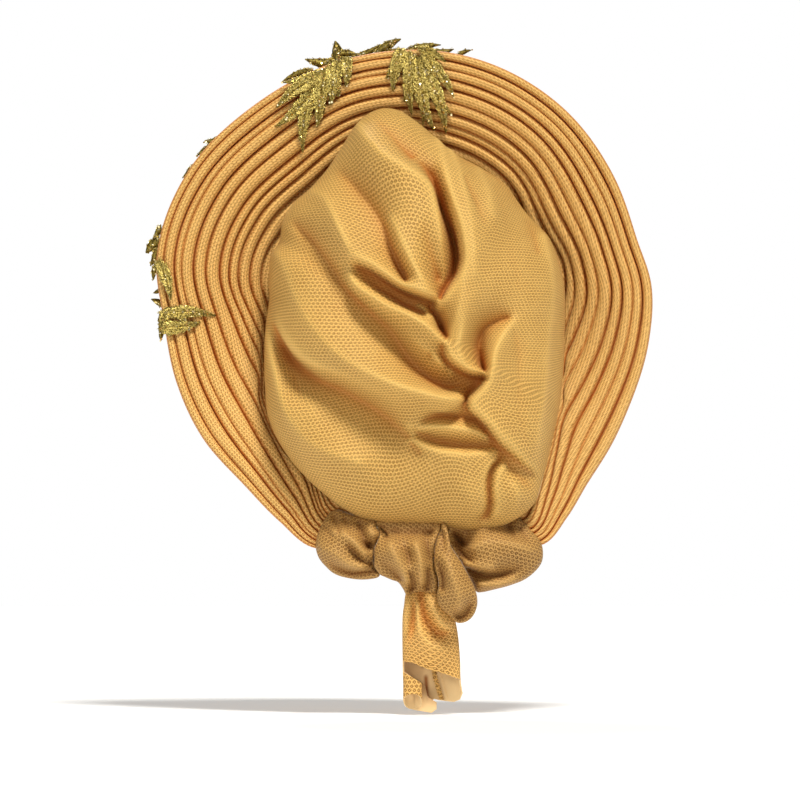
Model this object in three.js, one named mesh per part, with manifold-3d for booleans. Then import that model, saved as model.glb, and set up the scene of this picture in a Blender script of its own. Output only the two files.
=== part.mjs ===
// A ready-tied gele head wrap: a fan of accordion pleats, a loose crown bag and a knot at the nape.
// Sizes are in millimetres. Z points up, the face side is -Y and the bag and knot are on +Y.
// The origin is where the wrap sits on the crown of the head.
// Angles about the brim and the bag are in degrees from the top, growing clockwise as seen from behind.

import * as THREE from 'three';
import { mergeVertices } from 'three/addons/utils/BufferGeometryUtils.js';
import Module from 'manifold-3d';

const wasm = await Module();
wasm.setup();

// Driving dimensions of the brim
const BRIM_CENTRE_UP = -77;
const BRIM_STEPS = 32;
const BRIM_WALL_THICKEST = 1.8;
const BRIM_WALL_THINNEST = 1.0;
const PLEAT_DEPTH_LEAST = 1.4;
const PLEAT_DEPTH_SHARE = 1.05;
const PLEAT_DEPTH_MOST = 9;
const PLEAT_CRESTS = [0.27, 0.73];
const PLEAT_WALL_SHARE = 0.34;
const LINE_STEPS = 60;
const SLOPE_STEP = 0.5;
const MITRE_LEAST = 0.12;
const LENGTH_TOLERANCE = 1e-4;

// Width of each pleat row from the rim inwards, before the section's spread
const LEFT_ROWS = [4.8, 6.9, 4.5, 7.9, 7.9, 9.6, 6.1, 6.4, 8.4, 8.3];
const RIGHT_ROWS = [6.4, 5.8, 6.7, 6.7, 8.5, 7.9, 8.0, 5.8, 8.3, 6.4];
const FRONT_ROWS = 4;

// Sections of the brim. rim and inner are radii, rimBack and innerBack are places along Y,
// spread scales the row widths and shown is the width that the bag leaves uncovered.
const BRIM_SECTIONS = [
  { angle: -157, rim: 156, inner: 119, rimBack: 72, innerBack: 50, spread: 0.45, shown: 32 },
  { angle: -148, rim: 151, inner: 114, rimBack: 65, innerBack: 42, spread: 0.74, shown: 34 },
  { angle: -135, rim: 147, inner: 106, rimBack: 46, innerBack: 22, spread: 0.98, shown: 35 },
  { angle: -120, rim: 150, inner: 97, rimBack: 25, innerBack: -4, spread: 1.27, shown: 46 },
  { angle: -105, rim: 152, inner: 88, rimBack: 12, innerBack: -24, spread: 1.22, shown: 57 },
  { angle: -90, rim: 155, inner: 80, rimBack: 5, innerBack: -42, spread: 1.08, shown: 66 },
  { angle: -75, rim: 165, inner: 74, rimBack: 3, innerBack: -56, spread: 1.0, shown: 74 },
  { angle: -55, rim: 169, inner: 64, rimBack: 4, innerBack: -68, spread: 1.0, shown: 70 },
  { angle: -35, rim: 168.5, inner: 57, rimBack: 6, innerBack: -74, spread: 1.0, shown: 66 },
  { angle: -12, rim: 171.5, inner: 54, rimBack: 8, innerBack: -77, spread: 0.88, shown: 64 },
  { angle: 12, rim: 173.4, inner: 54, rimBack: 8, innerBack: -77, spread: 0.91, shown: 64 },
  { angle: 35, rim: 169.5, inner: 57, rimBack: 6, innerBack: -74, spread: 0.92, shown: 65 },
  { angle: 55, rim: 162, inner: 64, rimBack: 4, innerBack: -68, spread: 1.0, shown: 60 },
  { angle: 70, rim: 156.8, inner: 72, rimBack: 3, innerBack: -59, spread: 0.9, shown: 52 },
  { angle: 82, rim: 158.7, inner: 77, rimBack: 4, innerBack: -50, spread: 1.0, shown: 53 },
  { angle: 95, rim: 156, inner: 83, rimBack: 7, innerBack: -37, spread: 1.14, shown: 54 },
  { angle: 110, rim: 153, inner: 91, rimBack: 15, innerBack: -16, spread: 1.28, shown: 46 },
  { angle: 122, rim: 153.5, inner: 98, rimBack: 28, innerBack: 0, spread: 1.36, shown: 38 },
  { angle: 132, rim: 155.5, inner: 106, rimBack: 42, innerBack: 16, spread: 1.05, shown: 29 },
  { angle: 141, rim: 162, inner: 115, rimBack: 58, innerBack: 34, spread: 0.76, shown: 24 },
  { angle: 148, rim: 167, inner: 126, rimBack: 70, innerBack: 46, spread: 0.5, shown: 24 },
];

// Driving dimensions of the crown bag
const BAG_CENTRE_RIGHT = 15.4;
const BAG_CENTRE_UP = -83.2;
const BAG_BACK = 114;
const BAG_WALL = 2;
const BAG_STEPS_ROUND = 40;
const BAG_RINGS_BACK = 14;
const BAG_RINGS_FRONT = 4;
const BAG_SEWN_AT = 0.84;
const BAG_SEWN_INSIDE = 6;
const BAG_GAP = 0.9;
const BAG_CROWN_FLATNESS = 0.9;
const FOLD_BLUR = 5;

// Outline of the bag about its own centre. lift is how far its widest line stands off the pleats.
const BAG_OUTLINE = [
  { angle: -180, radius: 124.5, lift: 6 },
  { angle: -160, radius: 129.5, lift: 6 },
  { angle: -145, radius: 124.5, lift: 6 },
  { angle: -130, radius: 120.7, lift: 7 },
  { angle: -110, radius: 111.5, lift: 9 },
  { angle: -90, radius: 107.5, lift: 11 },
  { angle: -70, radius: 110.6, lift: 12 },
  { angle: -50, radius: 118.2, lift: 11 },
  { angle: -32, radius: 124, lift: 9 },
  { angle: -20, radius: 138, lift: 8 },
  { angle: -10, radius: 143.1, lift: 8 },
  { angle: 0, radius: 133, lift: 8 },
  { angle: 12, radius: 113.5, lift: 8 },
  { angle: 30, radius: 104.4, lift: 9 },
  { angle: 40, radius: 96.5, lift: 9 },
  { angle: 52, radius: 99.3, lift: 9 },
  { angle: 70, radius: 90.9, lift: 9 },
  { angle: 90, radius: 87, lift: 9 },
  { angle: 110, radius: 90.2, lift: 8 },
  { angle: 130, radius: 104.2, lift: 7 },
  { angle: 150, radius: 130.3, lift: 6 },
  { angle: 163, radius: 132, lift: 6 },
  { angle: 180, radius: 124.5, lift: 6 },
];

// Folds of the bag, on the plane seen from behind: right and up are places, as X and Z.
// height raises or sinks the cloth along the line, and near and far are how wide the fold runs out
// on the left and on the right of its line, followed from its start.
const BAG_FOLDS = [
  { height: 7, near: 8, far: 26, line: [[-31, 47], [-12, 32], [16, 8], [24, -30], [23, -62]] },
  { height: -8, near: 7, far: 7, line: [[14, 24], [23, 4], [31, -18], [31, -40], [25, -62]] },
  { height: 6, near: 24, far: 7, line: [[26, 30], [36, 0], [40, -30], [38, -60], [38, -86]] },
  { height: -7, near: 7, far: 7, line: [[-35, -44], [-23, -56], [-8, -65], [16, -68]] },
  { height: 5, near: 7, far: 12, line: [[-36, -58], [-18, -70], [0, -79], [18, -88]] },
  { height: -5, near: 7, far: 7, line: [[62, -78], [51, -84], [47, -96], [50, -112]] },
  { height: -5, near: 7, far: 7, line: [[28, -92], [30, -100], [38, -108], [51, -113]] },
  { height: 5, near: 12, far: 12, line: [[-70, -24], [-42, -66], [-14, -92], [16, -106]] },
  { height: 6, near: 11, far: 14, line: [[-84, -64], [-66, -98], [-34, -113], [0, -124], [34, -128]] },
  { height: -6, near: 9, far: 10, line: [[-80, -88], [-60, -120], [-38, -131], [-8, -150], [10, -166]] },
  { height: 6, near: 16, far: 5, line: [[41, -128], [52, -138], [66, -154], [89, -174]] },
  { height: -5, near: 7, far: 7, line: [[12, -148], [24, -152], [38, -154], [58, -160]] },
  { height: -5, near: 7, far: 7, line: [[60, -166], [53, -178], [53, -196], [48, -204]] },
  { height: -5, near: 10, far: 10, line: [[-71, -10], [-54, -44], [-39, -58]] },
  { height: -4, near: 12, far: 12, line: [[-39, 22], [-26, -6], [-7, -32]] },
  { height: -3, near: 8, far: 9, line: [[75, -10], [88, -60], [90, -120], [84, -150]] },
];

// Driving dimensions of the knot. right and up are places as seen from behind, back is along Y,
// and wide and deep are the half sizes of the section across its path.
const LOBE_SIDES = 14;
const LEFT_LOBE = [
  { right: -51.5, back: 65, up: -211, wide: 10, deep: 8 },
  { right: -48.3, back: 67, up: -213.5, wide: 14.5, deep: 12.5 },
  { right: -44, back: 73, up: -218, wide: 18, deep: 17 },
  { right: -35, back: 78, up: -224, wide: 18, deep: 18 },
  { right: -26.5, back: 79, up: -227.5, wide: 15.8, deep: 15.5 },
  { right: -19.8, back: 78.5, up: -229.5, wide: 11.6, deep: 11 },
];
const RIGHT_LOBE = [
  { right: 81, back: 68, up: -213.5, wide: 8.5, deep: 8 },
  { right: 78, back: 70, up: -216, wide: 13, deep: 13 },
  { right: 71, back: 75, up: -222, wide: 17, deep: 17 },
  { right: 61, back: 77, up: -227.5, wide: 17.5, deep: 17.5 },
  { right: 50, back: 79, up: -227.5, wide: 15, deep: 14.5 },
  { right: 41, back: 78, up: -226, wide: 10, deep: 9 },
];
const CENTRE_WRAP = [
  { right: 1, back: 84, up: -215, wide: 16, deep: 6 },
  { right: 0.5, back: 86, up: -218.5, wide: 18.4, deep: 10 },
  { right: 0, back: 88.5, up: -224, wide: 17.5, deep: 12.5 },
  { right: 2, back: 89.5, up: -233, wide: 15, deep: 12 },
  { right: 5, back: 86, up: -241.5, wide: 10, deep: 10 },
  { right: 7, back: 82, up: -247, wide: 5.5, deep: 6 },
];
const LOOP = [
  { right: 22, back: 86, up: -213.5, wide: 3, deep: 5 },
  { right: 25, back: 90, up: -224, wide: 6.8, deep: 8 },
  { right: 28.5, back: 93, up: -236, wide: 9.8, deep: 10 },
  { right: 32, back: 94, up: -248, wide: 12, deep: 11 },
  { right: 33.5, back: 93, up: -258, wide: 11.2, deep: 11 },
  { right: 34.5, back: 91, up: -265, wide: 7, deep: 8 },
];

// Driving dimensions of the tail, a flattened tube of folded cloth with a raw end
const TAIL_WALL = 1.4;
const TAIL_SIDES = 16;
const TAIL_BACK_SHORTENING = 18;
const TAIL = [
  { right: 8.5, back: 81, up: -250, wide: 7, deep: 3.6 },
  { right: 10, back: 81.5, up: -255, wide: 10.5, deep: 4.6 },
  { right: 13, back: 81.5, up: -262, wide: 15.5, deep: 5.6 },
  { right: 15, back: 80, up: -276, wide: 17.4, deep: 6 },
  { right: 16, back: 78, up: -292, wide: 17.8, deep: 6.6 },
  { right: 16, back: 76, up: -306, wide: 18, deep: 7.2 },
  { right: 16.5, back: 75, up: -322, wide: 18.6, deep: 7.8 },
];

// Driving dimensions of the lace leaves
const LACE_THICK = 1.2;
const LACE_LIFT = 1.0;
const LACE_MERGE = 0.4;
const LEAF_CROSSINGS = 2;
const LEAF_SHORTENING = 0.35;
const LEAF_SPREAD = 38;
const STEM_WIDE = 4;

// Stems of lace that lie on the back of the brim. Each starts at angle and radius and points along
// turn, where 0 is to the middle of the brim and positive is clockwise. pairs of leaves spring from it.
const SPRIGS = {
  lace_sprig_top_left: [
    { angle: -19, radius: 171, turn: 31, long: 53, pairs: 4, leafLong: 20, leafWide: 10 },
    { angle: -19, radius: 170, turn: 64, long: 42, pairs: 2, leafLong: 17, leafWide: 10 },
  ],
  lace_sprig_top_right: [
    { angle: -1.3, radius: 172, turn: -30, long: 58, pairs: 4, leafLong: 22, leafWide: 11 },
  ],
  lace_sprig_side: [
    { angle: -90, radius: 154, turn: 0, long: 33, pairs: 2, leafLong: 13, leafWide: 7 },
    { angle: -90, radius: 151, turn: -104, long: 40, pairs: 2, leafLong: 10, leafWide: 6 },
  ],
};

// Leaves of the lace on the front whose tips stand over the rim. reach is how far past the rim.
const GARLANDS = {
  lace_garland_top: [
    { angle: -57, reach: 2.5, lean: 20 },
    { angle: -50, reach: 3.5, lean: -25 },
    { angle: -41, reach: 2.5, lean: 25 },
    { angle: -33, reach: 2, lean: -20 },
    { angle: -22, reach: 9, lean: -30 },
    { angle: -15, reach: 12, lean: 30 },
    { angle: -8, reach: 8, lean: -32 },
    { angle: -2, reach: 7, lean: 34 },
    { angle: 6, reach: 3.5, lean: 40 },
    { angle: 12, reach: 4.5, lean: 30 },
  ],
  lace_garland_side: [
    { angle: -86, reach: 3.5, lean: -30 },
    { angle: -80, reach: 6, lean: 25 },
    { angle: -75, reach: 6, lean: -20 },
    { angle: -70, reach: 3, lean: 25 },
  ],
};
const GARLAND_LEAF_LONG = 18;
const GARLAND_LEAF_WIDE = 8;
const GARLAND_INSET = 5;
const GARLAND_LIFT = 0.6;

const DEGREE = Math.PI / 180;

/** Smooth value of one column of a table at an angle, through every row. */
function along(table, column, angle) {
  const last = table.length - 1;
  const at = Math.min(Math.max(angle, table[0].angle), table[last].angle);
  let i = 0;
  while (i < last - 1 && at > table[i + 1].angle) {
    i += 1;
  }
  const [a, b] = [table[i], table[i + 1]];
  const before = table[Math.max(i - 1, 0)];
  const after = table[Math.min(i + 2, last)];
  const span = b.angle - a.angle;
  const t = (at - a.angle) / span;
  const slopeA = ((b[column] - before[column]) / (b.angle - before.angle)) * span;
  const slopeB = ((after[column] - a[column]) / (after.angle - a.angle)) * span;
  const t2 = t * t;
  const t3 = t2 * t;
  return (2 * t3 - 3 * t2 + 1) * a[column] + (t3 - 2 * t2 + t) * slopeA
    + (3 * t2 - 2 * t3) * b[column] + (t3 - t2) * slopeB;
}

/** Ease from 0 to 1 as x goes from low to high. */
function ease(x, low, high) {
  const t = Math.min(Math.max((x - low) / (high - low), 0), 1);
  return t * t * (3 - 2 * t);
}

const mix = (a, b, t) => a + (b - a) * t;

/** Point of space at an angle and radius about the middle of the brim. */
function aroundBrim(angle, radius, back) {
  return new THREE.Vector3(
    -radius * Math.sin(angle * DEGREE),
    back,
    BRIM_CENTRE_UP + radius * Math.cos(angle * DEGREE),
  );
}

/** Quarter-ellipse line that the pleats follow from the rim forward to the face, at one angle. */
function brimLine(angle) {
  const rim = along(BRIM_SECTIONS, 'rim', angle);
  const inner = along(BRIM_SECTIONS, 'inner', angle);
  const rimBack = along(BRIM_SECTIONS, 'rimBack', angle);
  const innerBack = along(BRIM_SECTIONS, 'innerBack', angle);
  const at = (turn) => new THREE.Vector2(
    rim - (rim - inner) * Math.sin(turn),
    rimBack - (rimBack - innerBack) * (1 - Math.cos(turn)),
  );
  const turnAt = (step) => (step / LINE_STEPS) * (Math.PI / 2);
  const lengths = [0];
  for (let i = 1; i <= LINE_STEPS; i += 1) {
    lengths.push(lengths[i - 1] + at(turnAt(i - 1)).distanceTo(at(turnAt(i))));
  }
  const total = lengths[LINE_STEPS];
  const point = (length) => {
    let i = 1;
    while (i < LINE_STEPS && lengths[i] < length) {
      i += 1;
    }
    const share = (length - lengths[i - 1]) / (lengths[i] - lengths[i - 1]);
    return at(turnAt(i - 1 + share));
  };
  return { total, point };
}

/** Distances from the rim of the valleys between the pleat rows, along the brim line. */
function brimValleys(angle, total) {
  const spread = along(BRIM_SECTIONS, 'spread', angle);
  const shown = along(BRIM_SECTIONS, 'shown', angle);
  const right = ease(angle, -12, 18);
  const widths = LEFT_ROWS.map((width, i) => spread * mix(width, RIGHT_ROWS[i], right));
  let reach = 0;
  const weights = widths.map((width) => {
    reach += width;
    return 1 - ease(reach, shown - 2, shown + 8);
  });
  for (let i = 0; i < FRONT_ROWS; i += 1) {
    widths.push(0);
    weights.push(0);
  }
  const used = widths.reduce((sum, width, i) => sum + width * weights[i], 0);
  const shares = weights.reduce((sum, weight) => sum + 1 - weight, 0);
  const hidden = (total - used) / shares;
  const valleys = [0];
  widths.forEach((width, i) => {
    valleys.push(valleys[i] + width * weights[i] + hidden * (1 - weights[i]));
  });
  return valleys;
}

/** Direction square to the brim line, towards the back and the middle of the brim. */
function brimNormal(line, length) {
  const a = line.point(Math.max(length - SLOPE_STEP, 0));
  const b = line.point(Math.min(length + SLOPE_STEP, line.total));
  const slope = b.sub(a).normalize();
  return new THREE.Vector2(slope.y, -slope.x);
}

/** Depth of a pleat from its crests to its valleys. */
function pleatDepth(width) {
  return Math.min(PLEAT_DEPTH_LEAST + PLEAT_DEPTH_SHARE * width, PLEAT_DEPTH_MOST);
}

/** Middle line of the folded cloth across the brim at one angle, with its wall at each point. */
function pleatProfile(angle) {
  const line = brimLine(angle);
  const valleys = brimValleys(angle, line.total);
  const profile = [];
  const add = (length, height, wall) => {
    const normal = brimNormal(line, length);
    profile.push({ place: line.point(length).addScaledVector(normal, height), wall });
  };
  for (let i = 0; i < valleys.length - 1; i += 1) {
    const width = valleys[i + 1] - valleys[i];
    const wall = Math.min(Math.max(PLEAT_WALL_SHARE * width, BRIM_WALL_THINNEST), BRIM_WALL_THICKEST);
    const depth = pleatDepth(width);
    add(valleys[i], -depth / 2, wall);
    PLEAT_CRESTS.forEach((share) => add(valleys[i] + share * width, depth / 2, wall));
  }
  add(line.total, -1, BRIM_WALL_THICKEST);
  return profile;
}

/** Both faces of a folded wall: each corner is pushed out along its mitre. */
function offsetProfile(profile) {
  const front = [];
  const back = [];
  profile.forEach(({ place, wall }, i) => {
    const before = profile[Math.max(i - 1, 0)].place;
    const after = profile[Math.min(i + 1, profile.length - 1)].place;
    const inward = i > 0 ? place.clone().sub(before).normalize() : after.clone().sub(place).normalize();
    const onward = i < profile.length - 1 ? after.clone().sub(place).normalize() : inward;
    const sideIn = new THREE.Vector2(inward.y, -inward.x);
    const sideOn = new THREE.Vector2(onward.y, -onward.x);
    const mitre = sideIn.clone().add(sideOn).normalize();
    const reach = wall / 2 / Math.max(mitre.dot(sideOn), MITRE_LEAST);
    const turn = inward.x * onward.y - inward.y * onward.x;
    const clipped = Math.min(reach, wall);
    back.push(place.clone().addScaledVector(mitre, turn < 0 ? reach : clipped));
    front.push(place.clone().addScaledVector(mitre, turn < 0 ? -clipped : -reach));
  });
  return { front, back };
}

/** Closed solid from a row of equal closed loops, skinned in order and capped at both ends. */
function skinLoops(loops, capPairs) {
  const count = loops[0].length;
  const positions = loops.flat().flatMap((p) => [p.x, p.y, p.z]);
  const faces = [];
  for (let s = 0; s < loops.length - 1; s += 1) {
    for (let i = 0; i < count; i += 1) {
      const j = (i + 1) % count;
      const [a, b, c, d] = [s * count + i, s * count + j, (s + 1) * count + j, (s + 1) * count + i];
      faces.push(a, b, c, a, c, d);
    }
  }
  const lastStart = (loops.length - 1) * count;
  capPairs.forEach(([a, b, c]) => {
    faces.push(a, c, b);
    faces.push(lastStart + a, lastStart + b, lastStart + c);
  });
  const geometry = new THREE.BufferGeometry();
  geometry.setAttribute('position', new THREE.Float32BufferAttribute(positions, 3));
  geometry.setIndex(faces);
  return facingOut(geometry);
}

/** Signed volume of a closed indexed geometry. */
function volumeOf(geometry) {
  const index = geometry.getIndex();
  const position = geometry.getAttribute('position');
  const [a, b, c] = [new THREE.Vector3(), new THREE.Vector3(), new THREE.Vector3()];
  let sum = 0;
  for (let i = 0; i < index.count; i += 3) {
    a.fromBufferAttribute(position, index.getX(i));
    b.fromBufferAttribute(position, index.getX(i + 1));
    c.fromBufferAttribute(position, index.getX(i + 2));
    sum += a.dot(b.cross(c)) / 6;
  }
  return sum;
}

/** Same geometry with its faces turned to point out. */
function facingOut(geometry) {
  if (volumeOf(geometry) < 0) {
    const index = geometry.getIndex();
    for (let i = 0; i < index.count; i += 3) {
      const b = index.getX(i + 1);
      index.setX(i + 1, index.getX(i + 2));
      index.setX(i + 2, b);
    }
  }
  geometry.computeVertexNormals();
  return geometry;
}

/** The pleated brim: one folded wall swept about the face from nape to nape. */
function pleatedBrim() {
  const first = BRIM_SECTIONS[0].angle;
  const last = BRIM_SECTIONS[BRIM_SECTIONS.length - 1].angle;
  const loops = [];
  for (let s = 0; s <= BRIM_STEPS; s += 1) {
    const angle = mix(first, last, s / BRIM_STEPS);
    const { front, back } = offsetProfile(pleatProfile(angle));
    const loop = [...back, ...front.reverse()];
    loops.push(loop.map((p) => aroundBrim(angle, p.x, p.y)));
  }
  const count = loops[0].length;
  const caps = [];
  for (let i = 0; i < count / 2 - 1; i += 1) {
    const j = count - 1 - i;
    caps.push([i, i + 1, j], [i + 1, j - 1, j]);
  }
  return skinLoops(loops, caps);
}

/** Height of the folds about a place on the bag as seen from behind, evened out over a few millimetres. */
function bagRelief(right, up) {
  const around = [[0, 0], [FOLD_BLUR, 0], [-FOLD_BLUR, 0], [0, FOLD_BLUR], [0, -FOLD_BLUR]];
  const heights = around.map(([x, y]) => {
    const here = new THREE.Vector2(right + x, up + y);
    return BAG_FOLDS.reduce((sum, fold) => sum + foldHeight(fold, here), 0);
  });
  return heights.reduce((sum, height) => sum + height, 0) / around.length;
}

/** Height that one fold gives at a place, fading out across the line and past its ends. */
function foldHeight(fold, here) {
  let best = Infinity;
  let side = 1;
  for (let i = 0; i < fold.line.length - 1; i += 1) {
    const a = new THREE.Vector2(...fold.line[i]);
    const ab = new THREE.Vector2(...fold.line[i + 1]).sub(a);
    const ah = here.clone().sub(a);
    const t = Math.min(Math.max(ah.dot(ab) / ab.lengthSq(), 0), 1);
    const distance = ah.clone().addScaledVector(ab, -t).length();
    if (distance < best) {
      best = distance;
      side = ab.x * ah.y - ab.y * ah.x > 0 ? 1 : -1;
    }
  }
  const width = side > 0 ? fold.near : fold.far;
  return fold.height * Math.exp(-((best / width) ** 2));
}

/** Place of the bag on the plane seen from behind, at an angle and radius about its own centre. */
function aroundBag(angle, radius, back) {
  return new THREE.Vector3(
    -(BAG_CENTRE_RIGHT + radius * Math.sin(angle * DEGREE)),
    back,
    BAG_CENTRE_UP + radius * Math.cos(angle * DEGREE),
  );
}

/** Angle and radius about the middle of the brim of a point of space. */
function fromBrim(point) {
  return {
    angle: Math.atan2(-point.x, point.z - BRIM_CENTRE_UP) / DEGREE,
    radius: Math.hypot(point.x, point.z - BRIM_CENTRE_UP),
  };
}

/** Distance from the rim along the brim line at which it reaches a radius. */
function lengthAtRadius(line, radius) {
  let low = 0;
  let high = line.total;
  while (high - low > LENGTH_TOLERANCE) {
    const middle = (low + high) / 2;
    if (line.point(middle).x > radius) {
      low = middle;
    } else {
      high = middle;
    }
  }
  return low;
}

/** Front part of the bag: share 0 is its widest line, share 1 its edge, sewn on the pleats. */
function bagFront(angle, share) {
  const lift = along(BAG_OUTLINE, 'lift', angle);
  const outline = fromBrim(aroundBag(angle, along(BAG_OUTLINE, 'radius', angle), 0));
  const line = brimLine(outline.angle);
  const start = lengthAtRadius(line, outline.radius);
  const length = mix(start, Math.max(line.total * BAG_SEWN_AT, start + BAG_SEWN_INSIDE), share);
  const seat = PLEAT_DEPTH_MOST / 2 + BRIM_WALL_THICKEST / 2 + BAG_WALL / 2 + BAG_GAP;
  const stand = seat + lift * (1 - share) ** 2;
  const square = ease(share, 0, 0.25);
  const normal = brimNormal(line, length);
  const place = line.point(Math.min(length, line.total)).addScaledVector(normal, stand * square);
  return aroundBrim(outline.angle, place.x, place.y + stand * (1 - square));
}

/** Middle of the bag's wall: ring 0 is its rearmost point and ring 1 its front edge. */
function bagPoint(angle, ring) {
  const rear = BAG_RINGS_BACK / (BAG_RINGS_BACK + BAG_RINGS_FRONT);
  if (ring > rear) {
    return bagFront(angle, (ring - rear) / (1 - rear));
  }
  const radius = along(BAG_OUTLINE, 'radius', angle);
  const widest = bagFront(angle, 0).y;
  const turn = (ring / rear) * (Math.PI / 2);
  const r = radius * Math.sin(turn);
  const back = mix(widest, BAG_BACK, Math.cos(turn) ** BAG_CROWN_FLATNESS);
  const flat = aroundBag(angle, r, back);
  const lift = bagRelief(-flat.x, flat.z) * ease(1 - ring / rear, 0, 0.3);
  return aroundBag(angle, r + 0.25 * lift * Math.sin(turn), back + lift * (0.4 + 0.6 * Math.cos(turn)));
}

/** The crown bag: a thin wall, domed at the back and open to the head at the front. */
function crownBag() {
  const rings = BAG_RINGS_BACK + BAG_RINGS_FRONT;
  const step = 360 / BAG_STEPS_ROUND;
  const middle = [];
  for (let k = 1; k <= rings; k += 1) {
    const row = [];
    for (let s = 0; s < BAG_STEPS_ROUND; s += 1) {
      row.push(bagPoint(-180 + s * step, k / rings));
    }
    middle.push(row);
  }
  const pole = bagPoint(0, 0);
  const normalAt = (k, s) => {
    const next = middle[k][(s + 1) % BAG_STEPS_ROUND];
    const previous = middle[k][(s + BAG_STEPS_ROUND - 1) % BAG_STEPS_ROUND];
    const inside = k > 0 ? middle[k - 1][s] : pole;
    const outside = middle[Math.min(k + 1, rings - 1)][s];
    const round = next.clone().sub(previous);
    return outside.clone().sub(inside).cross(round).normalize();
  };
  const positions = [];
  const push = (p) => positions.push(p.x, p.y, p.z);
  [1, -1].forEach((side) => {
    push(pole.clone().add(new THREE.Vector3(0, (side * BAG_WALL) / 2, 0)));
    middle.forEach((row, k) => row.forEach((p, s) => {
      push(p.clone().addScaledVector(normalAt(k, s), (-side * BAG_WALL) / 2));
    }));
  });
  const layer = 1 + rings * BAG_STEPS_ROUND;
  const at = (side, k, s) => side * layer + 1 + k * BAG_STEPS_ROUND + (s % BAG_STEPS_ROUND);
  const faces = [];
  for (let s = 0; s < BAG_STEPS_ROUND; s += 1) {
    faces.push(0, at(0, 0, s), at(0, 0, s + 1));
    faces.push(layer, at(1, 0, s + 1), at(1, 0, s));
    for (let k = 0; k < rings - 1; k += 1) {
      faces.push(at(0, k, s), at(0, k + 1, s), at(0, k + 1, s + 1));
      faces.push(at(0, k, s), at(0, k + 1, s + 1), at(0, k, s + 1));
      faces.push(at(1, k, s), at(1, k + 1, s + 1), at(1, k + 1, s));
      faces.push(at(1, k, s), at(1, k, s + 1), at(1, k + 1, s + 1));
    }
    const edge = rings - 1;
    faces.push(at(0, edge, s), at(1, edge, s), at(1, edge, s + 1));
    faces.push(at(0, edge, s), at(1, edge, s + 1), at(0, edge, s + 1));
  }
  const geometry = new THREE.BufferGeometry();
  geometry.setAttribute('position', new THREE.Float32BufferAttribute(positions, 3));
  geometry.setIndex(faces);
  return facingOut(geometry);
}

/** Closed bundle of cloth through a table of sections, with creases that run along it. */
function bundle(sections, creases) {
  const path = sections.map((row) => new THREE.Vector3(-row.right, row.back, row.up));
  const loops = sections.map((row, k) => {
    const ahead = path[Math.min(k + 1, path.length - 1)];
    const behind = path[Math.max(k - 1, 0)];
    const forward = ahead.clone().sub(behind).normalize();
    const across = new THREE.Vector3(0, 1, 0).cross(forward).normalize();
    const out = forward.clone().cross(across).normalize();
    const loop = [];
    for (let i = 0; i < LOBE_SIDES; i += 1) {
      const turn = (i / LOBE_SIDES) * 2 * Math.PI;
      const dent = creases.reduce((sum, crease) => {
        const off = Math.abs(((turn / DEGREE - crease.turn + 540) % 360) - 180);
        return sum + crease.depth * Math.exp(-((off / crease.wide) ** 2));
      }, 0);
      const swell = 1 - dent / Math.max(row.wide, row.deep);
      loop.push(path[k].clone()
        .addScaledVector(across, row.wide * swell * Math.cos(turn))
        .addScaledVector(out, row.deep * swell * Math.sin(turn)));
    }
    return loop;
  });
  const caps = [];
  for (let i = 1; i < LOBE_SIDES - 1; i += 1) {
    caps.push([0, i, i + 1]);
  }
  return skinLoops(loops, caps);
}

/** The tail: a flattened tube of cloth, open at its raw end, where its layer on the back (+Y) is shorter. */
function tail() {
  const path = TAIL.map((row) => new THREE.Vector3(-row.right, row.back, row.up));
  const lowest = TAIL.length - 1;
  const ring = (row, k, inset) => {
    const loop = [];
    for (let i = 0; i < TAIL_SIDES; i += 1) {
      const turn = (i / TAIL_SIDES) * 2 * Math.PI;
      const outer = Math.max(Math.sin(turn), 0);
      const rise = k === lowest ? TAIL_BACK_SHORTENING * ease(outer, 0.25, 0.75) : 0;
      const lift = k === lowest - 1 ? 0.5 * TAIL_BACK_SHORTENING * ease(outer, 0.25, 0.75) : 0;
      loop.push(path[k].clone().add(new THREE.Vector3(
        -(row.wide - inset) * Math.cos(turn),
        (row.deep - inset) * Math.sin(turn),
        rise + lift,
      )));
    }
    return loop;
  };
  const outside = TAIL.map((row, k) => ring(row, k, 0));
  const inside = TAIL.map((row, k) => ring(row, k, TAIL_WALL));
  const loops = [...outside, ...inside.reverse()];
  const count = TAIL_SIDES;
  const positions = loops.flat().flatMap((p) => [p.x, p.y, p.z]);
  const faces = [];
  for (let s = 0; s < loops.length; s += 1) {
    const next = (s + 1) % loops.length;
    for (let i = 0; i < count; i += 1) {
      const j = (i + 1) % count;
      const [a, b, c, d] = [s * count + i, s * count + j, next * count + j, next * count + i];
      faces.push(a, b, c, a, c, d);
    }
  }
  const geometry = new THREE.BufferGeometry();
  geometry.setAttribute('position', new THREE.Float32BufferAttribute(positions, 3));
  geometry.setIndex(faces);
  return facingOut(geometry);
}

/** Place along Y of the crests of the pleats on the back of the brim. */
function crestBack(angle, radius) {
  const line = brimLine(angle);
  return line.point(lengthAtRadius(line, radius)).y + PLEAT_DEPTH_MOST / 2 + BRIM_WALL_THICKEST / 2;
}

/** Place along Y of the folds of the pleats on the front of the brim. */
function foldFront(angle, radius) {
  const line = brimLine(angle);
  return line.point(lengthAtRadius(line, radius)).y - PLEAT_DEPTH_MOST / 2 - BRIM_WALL_THICKEST;
}

/** Solid of a geometry with only its positions left and its shared corners merged. */
function solidOf(geometry) {
  const bare = geometry.clone();
  bare.deleteAttribute('normal');
  bare.deleteAttribute('uv');
  const merged = mergeVertices(bare, 1e-4);
  return new wasm.Manifold(new wasm.Mesh({
    numProp: 3,
    vertProperties: new Float32Array(merged.getAttribute('position').array),
    triVerts: new Uint32Array(merged.getIndex().array),
  }));
}

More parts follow.
